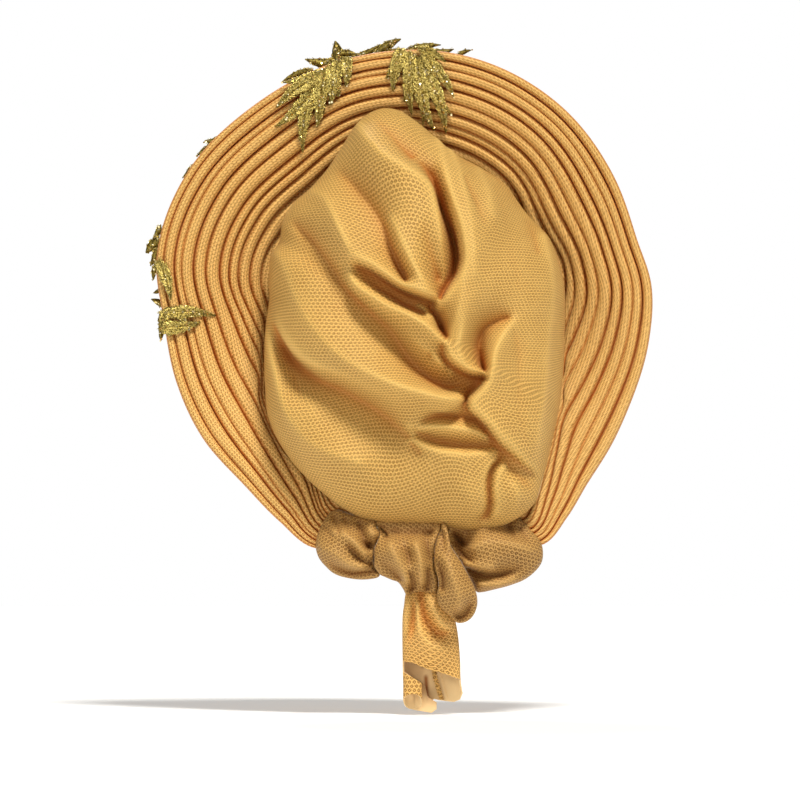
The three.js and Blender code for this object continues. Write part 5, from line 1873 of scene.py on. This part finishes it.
@dataclass
class Tail:
    """The free end below the knot: doubled cloth whose back layer runs longer and curls at its edge.

    Attributes:
        sections: Right and back of its middle, up, and its half width and half depth.
        outline: Right and up of its corners as seen from behind.
        lines: Lines of right, up and height of its folds.
        long: Height at which its back layer ends, from its left to its right.
        short: The same for the layer that is seen from behind.
        roundness: Powers that make its sides square or round, across and from back to front.
        lining_back: Place along Y of the lining below the hem.
        curl_centre: Right and back of the middle of the rolled corner.
        curl_radius: Radius of the roll, from its flap inward.
        curl_turns: Turn in degrees at which the roll starts and ends.
        curl_flap: Right and back of the edge of its flap.
        curl_steps: Samples of the flap and of the roll, and rows down it.
        selvedge: Right and up of the middle of the patterned strip.
        selvedge_half: Half width of the strip and how far it varies.
    """

    wardrobe: Wardrobe
    wall: float = 0.9
    sides: int = 144
    rows: int = 110
    sections: Rows = (
        (10.5, 82, -245, 8.5, 3.4), (11.2, 82, -251, 11.6, 4.4), (12.4, 82, -257, 13.6, 5.4),
        (14, 81, -264, 16.2, 6), (15.2, 80, -276, 17.6, 6.2), (16, 78, -292, 18.2, 6.4),
        (16.4, 76, -306, 18.3, 6.8), (18.4, 75, -320, 18.8, 7),
    )
    outline: Rows = ((-6, -244), (36, -244), (36, -324), (-6, -324))
    lines: tuple[Line, ...] = (
        ((4.5, -252, -1), (5.1, -258, -3.5), (5.1, -264, -4.5), (4.2, -271, -4), (2.6, -277, -2),
         (1.3, -283, 0)),
        ((9.8, -246, -5), (10.2, -254, -6), (9.6, -259, -6.5), (11, -264, -7), (14, -269, -6.5),
         (18, -273.5, -6), (22, -275.5, -5), (26, -275, -2.5)),
        ((14, -252, 1.5), (17, -259, 4), (20.5, -266, 5), (24, -270.5, 4.5), (28, -271, 2)),
        ((2, -254, 0.5), (0, -264, 2), (-0.8, -276, 2)),
        ((7.4, -256, 1.5), (7.4, -266, 2.5), (9, -275, 3), (14, -282, 3), (22, -285, 2.5)),
    )
    long: Rows = (
        (-1, -316), (-0.1, -318.5), (0, -317.2), (0.15, -318), (0.6, -319), (0.85, -317.4), (1, -313.4),
    )
    short: Rows = ((-1, -293), (-0.6, -293.8), (0, -298.6), (0.5, -301.6), (1, -304.6))
    roundness: tuple[float, float] = (0.85, 0.75)
    cloth_round: float = 0.088
    lining_back: float = 70.6
    curl_centre: tuple[float, float] = (4.7, 77.4)
    curl_radius: tuple[float, float] = (7.2, 4.8)
    curl_turns: tuple[float, float] = (-80, -440)
    curl_flap: tuple[float, float] = (19.4, 74.5)
    curl_steps: tuple[int, int, int] = (16, 84, 40)
    curl_wall: float = 0.8
    selvedge: Rows = ((17.3, -296), (18.6, -304), (20.6, -311), (22.6, -317.4))
    selvedge_half: tuple[float, float] = (1.25, 0.3)

    def __post_init__(self) -> None:
        """Works out the relief of the folds on the side that is seen from behind."""
        self.terrain = Terrain(np.array(self.outline, float), self.lines)

    def end(self, turns: Array) -> Array:
        """Height at which the cloth ends at each turn round the tail.

        Args:
            turns: Turns in radians.

        Returns:
            One height for each turn.
        """
        long, short = (np.interp(-np.cos(turns), *np.array(table).T) for table in (self.long, self.short))
        return mix(long, short, ease(np.sin(turns), 0.05, 0.25))

    def face(self, inset: float) -> Array:
        """Points of one face of the cloth.

        Args:
            inset: How far it lies inside the outer face.

        Returns:
            Points by row and turn.
        """
        sections = smooth_line(self.sections, 18)
        turns = np.linspace(0, 360, self.sides, endpoint=False) * DEGREE
        up = mix(sections[0, 2], self.end(turns)[None, :], np.linspace(0, 1, self.rows)[:, None])
        order = sections[::-1]
        right, back, wide, deep = (np.interp(up, order[:, 2], order[:, k]) for k in (0, 1, 3, 4))
        cosine, sine = np.cos(turns), np.sin(turns)
        across, along = (np.sign(s) * np.abs(s) ** power for s, power in zip((cosine, sine), self.roundness))
        points = layered((wide - inset) * across - right, back + (deep - inset) * along, up)
        height = self.terrain.read(self.terrain.height, points) * ease(sine, 0, 0.4)
        ripple_height, ripple_turn = 0.7, 0.21
        ripple = ripple_height * np.sin(up * ripple_turn + 3 * cosine) * ease(-up, 262, 300)
        points[..., 1] += height + ripple
        return points

    def cloth(self) -> Piece:
        """Makes the doubled cloth, jacquard outside and plain inside.

        Returns:
            The cloth.
        """
        outer, inner = self.face(0.0), self.face(self.wall)
        # Painted shading of the folds, on the side seen from behind only.
        painted_shading_amount = self.terrain.read(self.terrain.painted_shading_layer, outer) * ease(outer[..., 1], 78, 82)
        right, up = -inner[..., 0], inner[..., 2]
        slit_right, slit_slope, slit_half, hem = 12.6, 0.06, 1.5, 304
        across_slit = (right - slit_right + slit_slope * (up + hem)) / slit_half
        # Painted shade on the lining: a band down the slit below the hem, and darker towards the rolled
        # corner and the top.
        gap = np.exp(-(across_slit**2)) * ease(-up, 300, hem)
        shade_under_curl = 0.2 * ease(-right, -13, -9) + 0.15 * ease(up, -308, -298)
        shell = Shell()
        outer_index = shell.scatter(outer, deep=painted_shading_amount)
        inner_index = shell.scatter(inner, deep=np.clip(np.maximum(gap, shade_under_curl), 0, 1))
        uv = layered(np.linspace(0, self.cloth_round, self.sides + 1)[None, :], outer[:, :1, 2] * MM)
        shell.weave(closed(outer_index), uv)
        shell.weave(closed(inner_index)[:, ::-1], uv, 1)
        for row, turn in ((-1, 1), (0, -1)):
            shell.weave(closed(np.vstack([outer_index[row], inner_index[row]])[::turn]), slot=1)
        return shell.piece("tail_cloth", [self.wardrobe.tail, self.wardrobe.lining])

    def roll(self) -> Array:
        """Line of the rolled corner seen from above: a flap, then a spiral.

        Returns:
            Right and back of its points.
        """
        flap_steps, steps, _ = self.curl_steps
        turns = np.radians(np.linspace(*self.curl_turns, steps))
        radius = np.linspace(*self.curl_radius, steps)
        right, back = self.curl_centre
        spiral = np.stack([right + radius * np.cos(turns), back + 0.8 * radius * np.sin(turns)], axis=1)
        shares = np.linspace(0, 1, flap_steps, endpoint=False)[:, None]
        return np.vstack([mix(np.array(self.curl_flap), spiral[0], shares), spiral])

    def curl(self) -> Piece:
        """Makes the rolled corner at the lower left, jacquard outside and plain inside.

        Returns:
            The piece.
        """
        line = self.roll()
        ahead = unit(np.gradient(line, axis=0))
        square = np.stack([-ahead[:, 1], ahead[:, 0]], axis=1)
        right, back = line[:, 0], (line[:, 1] - self.curl_centre[1]) / 6
        away = right - self.curl_centre[0]
        top_edge, fall, flap_drop = -303.5, 0.62, 6.5
        low_edge, swing, sag, flap_rise, side_rise = -318.2, 5.8, 0.35, 2.6, 1.5
        top = top_edge - fall * away - flap_drop * ease(right, 11.5, 14)
        low = low_edge + swing * np.clip(back, -1, 1) - sag * np.maximum(away, 0) * (back < 0)
        low += flap_rise * ease(right, 16, self.curl_flap[0]) + side_rise * ease(-right, 0, 3)
        shares = np.linspace(0, 1, self.curl_steps[2])[:, None]
        up = mix(top[None, :], low[None, :], shares)
        shell = Shell()
        layers = []
        for inset, shade in ((0.0, 0.0), (self.curl_wall, 0.5)):
            place = line - square * inset
            deep = np.broadcast_to(shade * (1 - shares) ** 2, up.shape)
            layers.append(shell.scatter(layered(-place[:, 0], place[:, 1], up), deep=deep))
        outer, inner = layers
        uv = layered(run_of(line)[None, :], up) * MM
        shell.weave(outer, uv)
        shell.weave(inner[:, ::-1], uv[:, ::-1], 1)
        for pair in ((outer[-1], inner[-1]), (inner[0], outer[0])):
            shell.weave(np.vstack(pair), slot=1)
        for pair in ((inner[:, 0], outer[:, 0]), (outer[:, -1], inner[:, -1])):
            shell.weave(np.stack(pair, axis=1), slot=1)
        return shell.piece("tail_curl", [self.wardrobe.tail, self.wardrobe.lining])

    def strip(self) -> Piece:
        """Makes the frayed selvedge that shows on the lining, a thin closed ribbon.

        Returns:
            The piece.
        """
        middle = smooth_line(self.selvedge, 14)
        step = np.arange(len(middle))
        wander = 0.35 * np.sin(step * 1.7)
        half = self.selvedge_half[0] + self.selvedge_half[1] * np.sin(step * 2.9)
        corners = [
            layered(-(middle[:, 0] + wander + side * half), self.lining_back + lift, middle[:, 1])
            for side, lift in ((-1, 0.0), (-1, 0.7), (1, 0.7), (1, 0.0))
        ]
        shell = Shell()
        index = shell.scatter(np.stack(corners, axis=1), deep=np.zeros((len(middle), 4)))
        across = np.array([0, 0.0007, 0.0035, 0.0042, 0.0042])
        shell.weave(closed(index), layered(across[None, :], middle[:, 1:] * MM))
        shell.cap(index)
        return shell.piece("tail_selvedge", [self.wardrobe.tail])

    def frayed_lines(self) -> list[Array]:
        """Lines of loose threads beside the selvedge.

        Returns:
            Lines of points.
        """
        middle = smooth_line(((17.3, -297), (18.6, -304), (20.6, -311), (22.6, -317)), 14)
        back = self.lining_back + 0.5
        return [layered(-middle[:, 0] - side, back, middle[:, 1]) for side in (-1.5, 1.5, 4.2)]

    def build(self) -> list[Piece]:
        """Makes the tail, its curled corner, its selvedge and the loose threads beside it.

        Returns:
            The pieces.
        """
        cloth = settle(self.cloth(), ["tail"])
        curl = settle(self.curl())
        strip = settle(self.strip())
        threads = Stitching(1.1, 1.2, 0.3).sew(self.frayed_lines(), "tail_fray", self.wardrobe.fray)
        return [cloth, curl, strip, settle(threads)]


SPRIGS: dict[str, Rows] = {
    "lace_sprig_top_left": (
        (-51.2, 82.6, -78.7, 74.9, 6.4), (-53.8, 79.4, -82.6, 58.9, 9), (-57.6, 73, -83.2, 46.7, 8.3),
        (-58.9, 71.7, -65.9, 30.1, 7.7), (-57, 74.2, -57, 46.1, 7.7), (-51.8, 80.6, -52.5, 54.4, 8.3),
        (-48, 85.8, -48.6, 60.2, 8.3), (-43.5, 88.3, -42.9, 65.3, 7.7), (-39, 89.6, -38.4, 72.3, 7),
        (-35.8, 90.9, -35.2, 77.4, 4.5),
    ),
    "lace_sprig_top_right": (
        (-3.2, 96, -12.8, 77.4, 7.7), (-1.9, 94.7, -8.3, 69.1, 7.7), (1.3, 94.1, -1.3, 62.7, 7.7),
        (4.5, 92.2, 3.8, 54.4, 7.7), (6.4, 85.8, 10.9, 48, 7.7), (7.7, 90.9, 17.9, 44.2, 8.3),
        (9.6, 85.8, 25.6, 42.9, 8.3), (11.5, 87, 28.8, 54.4, 7), (12.2, 90.9, 30.7, 65.3, 6.4),
        (11.5, 96, 24.3, 75.5, 7), (7.7, 96.6, 25.6, 87.7, 5.8),
    ),
    "lace_sprig_side": (
        (-157.4, -73.6, -121.6, -74.2, 7.7), (-157.4, -81.3, -131.2, -78.1, 8.3),
        (-158.7, -39, -150.4, -64, 7.7), (-151, -69.8, -157.4, -85.1, 5.8),
        (-147.2, -71.7, -138.2, -84.5, 5.1),
    ),
}
GARLANDS: dict[str, Rows] = {
    "lace_garland_top": (
        (-43.5, 87.7, -64.6, 90.2, 7), (-44.2, 89.6, -45.4, 101.8, 7.7), (-43.5, 93.4, -30.7, 92.8, 5.1),
        (-34.6, 90.2, -17.3, 99.2, 5.1), (-19.2, 92.2, -3.2, 103, 7), (-3.8, 92.8, 8.3, 98.6, 5.8),
        (-0.6, 94.1, 22.4, 99.2, 5.1), (15.4, 94.7, 30.7, 96.6, 4.5), (32.6, 92.2, 42.2, 96, 3.2),
        (-59.5, 83.2, -79.4, 75.5, 4.5), (-117.8, 40.3, -129.9, 37.1, 3.8), (-122.9, 35.2, -133.8, 28.2, 3.8),
        (-136.3, 23, -143.4, 14.1, 3.2), (-41.6, 90.9, -19.2, 92.2, 3.2), (-16.6, 92.8, 2.6, 96, 3.2),
    ),
    "lace_garland_side": (
        (-157.4, -16.6, -161.9, -25, 4.5), (-157.4, -25.6, -166.4, -33.9, 7.7),
        (-159.4, -31.4, -163.8, -42.2, 5.1), (-158.7, -39.7, -161.9, -51.2, 4.5),
        (-156.8, -57, -161.9, -59.5, 3.2), (-155.5, -67.8, -163.2, -63.4, 4.5),
        (-155.5, -70.4, -158.7, -78.1, 3.8), (-155.5, -81.9, -156.8, -90.2, 3.8),
    ),
}


@dataclass(frozen=True)
class Leaf:
    """One leaf of lace along a spine.

    Attributes:
        spine: Points from its foot to its tip.
        across: Direction across each point of the spine.
        outward: Direction off the cloth at each point.
        half: Half of its width at each point.
    """

    spine: Array
    across: Array
    outward: Array
    half: Array


@dataclass
class LeafLace:
    """Gold leaf lace: sprigs that lie on the back of the brim and leaves that stand over its rim.

    Each row of SPRIGS and GARLANDS is one leaf: right and up of its foot and of its tip, and its width.

    Attributes:
        ground: Share of a leaf's width that its ground fills.
        pitch: Distance between threads.
        bend: Degrees that a spine turns from foot to tip.
        arch: How far the middle of a leaf stands up.
        least: Least width of a leaf, as a share of its full one.
        thread: Thickness, arch and slant of a thread, as shares of the leaf's half width.
        disc: Radius and height of a spangle.
    """

    wardrobe: Wardrobe
    thick: float = 0.7
    ground: float = 0.86
    lift: float = 1.0
    pitch: float = 0.6
    bend: float = 14.0
    arch: float = 0.9
    least: float = 0.1
    thread: tuple[float, float, float] = (0.1, 0.3, 0.95)
    disc: tuple[float, float] = (0.75, 0.16)
    density: float = 190000.0
    disc_lift: float = 0.0005

    def seat(self, points: Array, back: bool) -> Array:
        """Places along Y where leaves lie on the pleats.

        Args:
            points: Points of space, of which Y isn't read.
            back: True on the back of the brim, False on its front.

        Returns:
            One place for each point.
        """
        angle, radius = from_brim(points)
        lines = BrimLines(angle)
        on_line = lines.point(lines.length_at(radius)[:, None])[:, 0, 1]
        if back:
            return on_line + (PLEAT_DEPTH_MOST + BRIM_WALL_THICKEST) / 2 + self.lift
        return on_line - PLEAT_DEPTH_MOST / 2 - BRIM_WALL_THICKEST - self.lift

    def leaf(self, row: Sequence[float], back: bool, curve: float) -> Leaf:
        """Lays one leaf on the cloth.

        Args:
            row: Right and up of its foot, right and up of its tip, and its width.
            back: True on the back of the brim, False on its front.
            curve: Degrees that its spine turns from foot to tip.

        Returns:
            The leaf.
        """
        foot, tip = (np.array([-row[k], 0.0, row[k + 1]]) for k in (0, 2))
        long = float(np.linalg.norm(tip - foot))
        count = max(int(long / self.pitch), 6)
        t = np.linspace(0, 1, count)
        side = unit(np.array([tip[2] - foot[2], 0.0, foot[0] - tip[0]]))
        bow = long * math.tan(curve * DEGREE / 2) / 2
        spine = mix(foot, tip, t[:, None]) + side * (bow * 4 * t * (1 - t))[:, None]
        spine[:, 1] = np.convolve(np.pad(self.seat(spine, back), 3, "edge"), np.ones(7) / 7, "valid")
        off = np.tile([0.0, 1.0 if back else -1.0, 0.0], (count, 1))
        spine += off * (self.arch * np.sin(np.pi * t))[:, None]
        forward = unit(np.gradient(spine, axis=0))
        across = unit(np.cross(off, forward))
        # Blunt at the foot and pointed at the tip.
        swell = np.sin(np.pi * (0.12 + 0.84 * t**0.9))
        half = row[4] / 2 * np.maximum(swell, self.least)
        return Leaf(spine, across, unit(np.cross(forward, across)), half)

    def blades(self, leaves: Sequence[Leaf], name: str) -> Piece:
        """Makes the thin ground of every leaf: a closed blade with a rib.

        Args:
            leaves: The leaves.
            name: Name of the piece.

        Returns:
            The piece.
        """
        shell = Shell()
        for leaf in leaves:
            spine, side = leaf.spine, leaf.across * leaf.half[:, None] * self.ground
            rise = leaf.outward * self.thick
            loop = [spine + side, spine + rise * 0.75, spine - side, spine - rise * 0.25]
            index = shell.scatter(np.stack(loop, axis=1))
            shell.weave(closed(index))
            shell.cap(index)
        return shell.piece(name, [self.wardrobe.leaf])

    def threads(self, leaves: Sequence[Leaf], name: str) -> Piece:
        """Grows slanted loops of thread along both sides of every leaf's spine.

        Args:
            leaves: The leaves.
            name: Name of the piece.

        Returns:
            The piece.
        """
        g = Grower("lace_threads", dict(zip(("Thread Thickness", "Arch", "Slant"), self.thread)), 23)
        curve = {
            "Resolution": 4,
            "Start": (0.0, 0.0, 0.1),
            "Middle": g.combined(0.55, 0.1, g.given["Arch"]),
            "End": g.combined(1.0, g.given["Slant"]),
        }
        bow = g.add("GeometryNodeCurveQuadraticBezier", curve).outputs[0]
        circle = {"Resolution": 4, "Radius": g.given["Thread Thickness"]}
        ring = g.add("GeometryNodeCurvePrimitiveCircle", circle).outputs[0]
        tube = {"Curve": bow, "Profile Curve": ring, "Fill Caps": True}
        thread = g.add("GeometryNodeCurveToMesh", tube).outputs[0]
        size = g.times(g.value("reach"), g.random(0.82, 1.22))
        parts = []
        for side in (1.0, -1.0):
            way = g.scaled(g.value("across", "FLOAT_VECTOR"), side)
            axes = {"Primary Axis": way, "Secondary Axis": g.value("outward", "FLOAT_VECTOR")}
            turn = g.add("FunctionNodeAxesToRotation", axes, primary_axis="X", secondary_axis="Z").outputs[0]
            scale = g.combined(size, g.times(size, side), size)
            parts.append(g.copies(g.given["Geometry"], thread, turn, scale))
        joined = g.add("GeometryNodeJoinGeometry")
        for part in parts:
            g.tree.links.new(part, joined.inputs[0])
        g.finish(joined.outputs[0], self.wardrobe.strand)
        lines = wired(
            name + "_spines",
            [leaf.spine for leaf in leaves],
            across=[leaf.across for leaf in leaves],
            outward=[leaf.outward for leaf in leaves],
            reach=[leaf.half * MM for leaf in leaves],
        )
        return g.grow(lines, name)

    def spangles(self, ground: Piece, name: str) -> Piece:
        """Scatters small faceted discs over the blades.

        Args:
            ground: The blades, which are used up.
            name: Name of the piece.

        Returns:
            The piece.
        """
        radius, height = self.disc
        sizes = {"Disc Radius": radius * MM, "Disc Height": height * MM, "Density": self.density}
        g = Grower("lace_spangles", sizes, 31)
        scatter = {"Mesh": g.given["Geometry"], "Density": g.given["Density"], "Seed": g.given["Seed"]}
        spots = g.add("GeometryNodeDistributePointsOnFaces", scatter, distribute_method="RANDOM").outputs
        shape = {"Vertices": 6, "Radius": g.given["Disc Radius"], "Depth": g.given["Disc Height"]}
        disc = g.add("GeometryNodeMeshCylinder", shape).outputs["Mesh"]
        tilt = g.random((-0.6, -0.6, 0.0), (0.6, 0.6, 3.0), "FLOAT_VECTOR")
        euler = g.add("FunctionNodeEulerToRotation", {0: tilt}).outputs[0]
        turns = {"Rotation": spots["Rotation"], "Rotate By": euler}
        turn = g.add("FunctionNodeRotateRotation", turns, rotation_space="LOCAL").outputs[0]
        raised = {"Geometry": spots[0], "Offset": g.scaled(spots["Normal"], self.disc_lift)}
        lifted = g.add("GeometryNodeSetPosition", raised).outputs[0]
        g.finish(g.copies(lifted, disc, turn, g.random(0.55, 1.15)), self.wardrobe.spangle)
        return g.grow(ground, name)

    def build(self) -> list[Piece]:
        """Makes the blades, threads and spangles of every sprig and garland, bent to either side in turn.

        Returns:
            The pieces.
        """
        pieces = []
        for plants, back in ((SPRIGS, True), (GARLANDS, False)):
            for node, rows in plants.items():
                leaves = [self.leaf(row, back, self.bend * (-1) ** k) for k, row in enumerate(rows)]
                spare = self.blades(leaves, node + "_spare")
                pieces += [
                    settle(self.blades(leaves, node + "_leaves"), [node]),
                    settle(self.threads(leaves, node + "_threads")),
                    settle(self.spangles(spare, node + "_spangles")),
                ]
        return pieces


@dataclass
class Studio:
    """Camera, soft light and pale floor, in metres and degrees.

    Each sun has a name, the degrees from +Y towards +X and above the floor that it stands at, and a strength.
    """

    distance: float = 6.0
    frame_width: float = 0.512
    sensor: float = 36.0
    centre: tuple[float, float] = (0.0038, -0.128)
    floor_up: float = -0.327
    floor_half: float = 3.0
    ambient: float = 0.22
    softness: float = 14.0
    tint: Rgb = (1.0, 0.985, 0.96)
    suns: tuple[tuple[str, float, float, float], ...] = (
        ("key", -22, 57, 3.3),
        ("fill", 40, 22, 0.6),
        ("far_side", 170, 40, 1.3),
    )

    def camera(self) -> None:
        """Sets the camera behind the wrap, level with its middle."""
        data = bpy.data.cameras.new("camera")
        data.sensor_width = self.sensor
        data.lens = self.sensor * self.distance / self.frame_width
        camera = linked(bpy.data.objects.new("camera", data))
        camera.location = (self.centre[0], self.distance, self.centre[1])
        camera.rotation_euler = Vector((0, -1, 0)).to_track_quat("-Z", "Y").to_euler()
        bpy.context.scene.camera = camera

    def sun(self, name: str, around: float, height: float, strength: float) -> None:
        """Sets one soft sun that shines on the wrap.

        Args:
            name: Its name.
            around: Degrees from +Y towards +X.
            height: Degrees above the floor.
            strength: Its strength.
        """
        data = bpy.data.lights.new(name, "SUN")
        data.energy, data.angle, data.color = strength, self.softness * DEGREE, self.tint
        sun = linked(bpy.data.objects.new(name, data))
        turn, rise = around * DEGREE, height * DEGREE
        way = (math.cos(rise) * math.sin(turn), math.cos(rise) * math.cos(turn), math.sin(rise))
        sun.rotation_euler = (-Vector(way)).to_track_quat("-Z", "Y").to_euler()

    def sky(self) -> None:
        """Sets soft light from all around before a white background."""
        world = bpy.data.worlds.new("studio")
        world.use_nodes = True
        n = Nodes(world.node_tree)
        seen = n.add("ShaderNodeLightPath").outputs["Is Camera Ray"]
        strength = n.math("MULTIPLY_ADD", seen, 1.0 - self.ambient, self.ambient)
        light = n.add("ShaderNodeBackground", {"Color": (1.0, 1.0, 1.0, 1.0), "Strength": strength})
        n.add("ShaderNodeOutputWorld", {0: light.outputs[0]})
        bpy.context.scene.world = world
        bpy.context.scene.view_settings.view_transform = "Standard"

    def floor(self) -> None:
        """Lays the pale floor."""
        mesh = bpy.data.meshes.new("floor")
        signs = ((-1, -1), (1, -1), (1, 1), (-1, 1))
        corners = [(x * self.floor_half, y * self.floor_half, self.floor_up) for x, y in signs]
        mesh.from_pydata(corners, [], [(0, 1, 2, 3)])
        material = bpy.data.materials.new("pale_floor")
        material.use_nodes = True
        shader = material.node_tree.nodes["Principled BSDF"].inputs
        shader["Base Color"].default_value = (0.93, 0.93, 0.92, 1.0)
        shader["Roughness"].default_value = 0.9
        mesh.materials.append(material)
        linked(bpy.data.objects.new("floor", mesh))

    def build(self) -> None:
        """Makes the camera, the lights and the floor."""
        self.camera()
        for sun in self.suns:
            self.sun(*sun)
        self.sky()
        self.floor()


def main() -> None:
    """Builds every sub-assembly."""
    logging.basicConfig(level=logging.INFO, format="%(name)s: %(message)s")
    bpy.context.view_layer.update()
    wardrobe = Wardrobe()
    Studio().build()
    for assembly in (PleatedBrim, CrownBag, NapeKnot, Tail, LeafLace):
        pieces = assembly(wardrobe).build()
        LOG.info("%s: %d pieces", assembly.__name__, len(pieces))


if __name__ == "__main__":
    main()
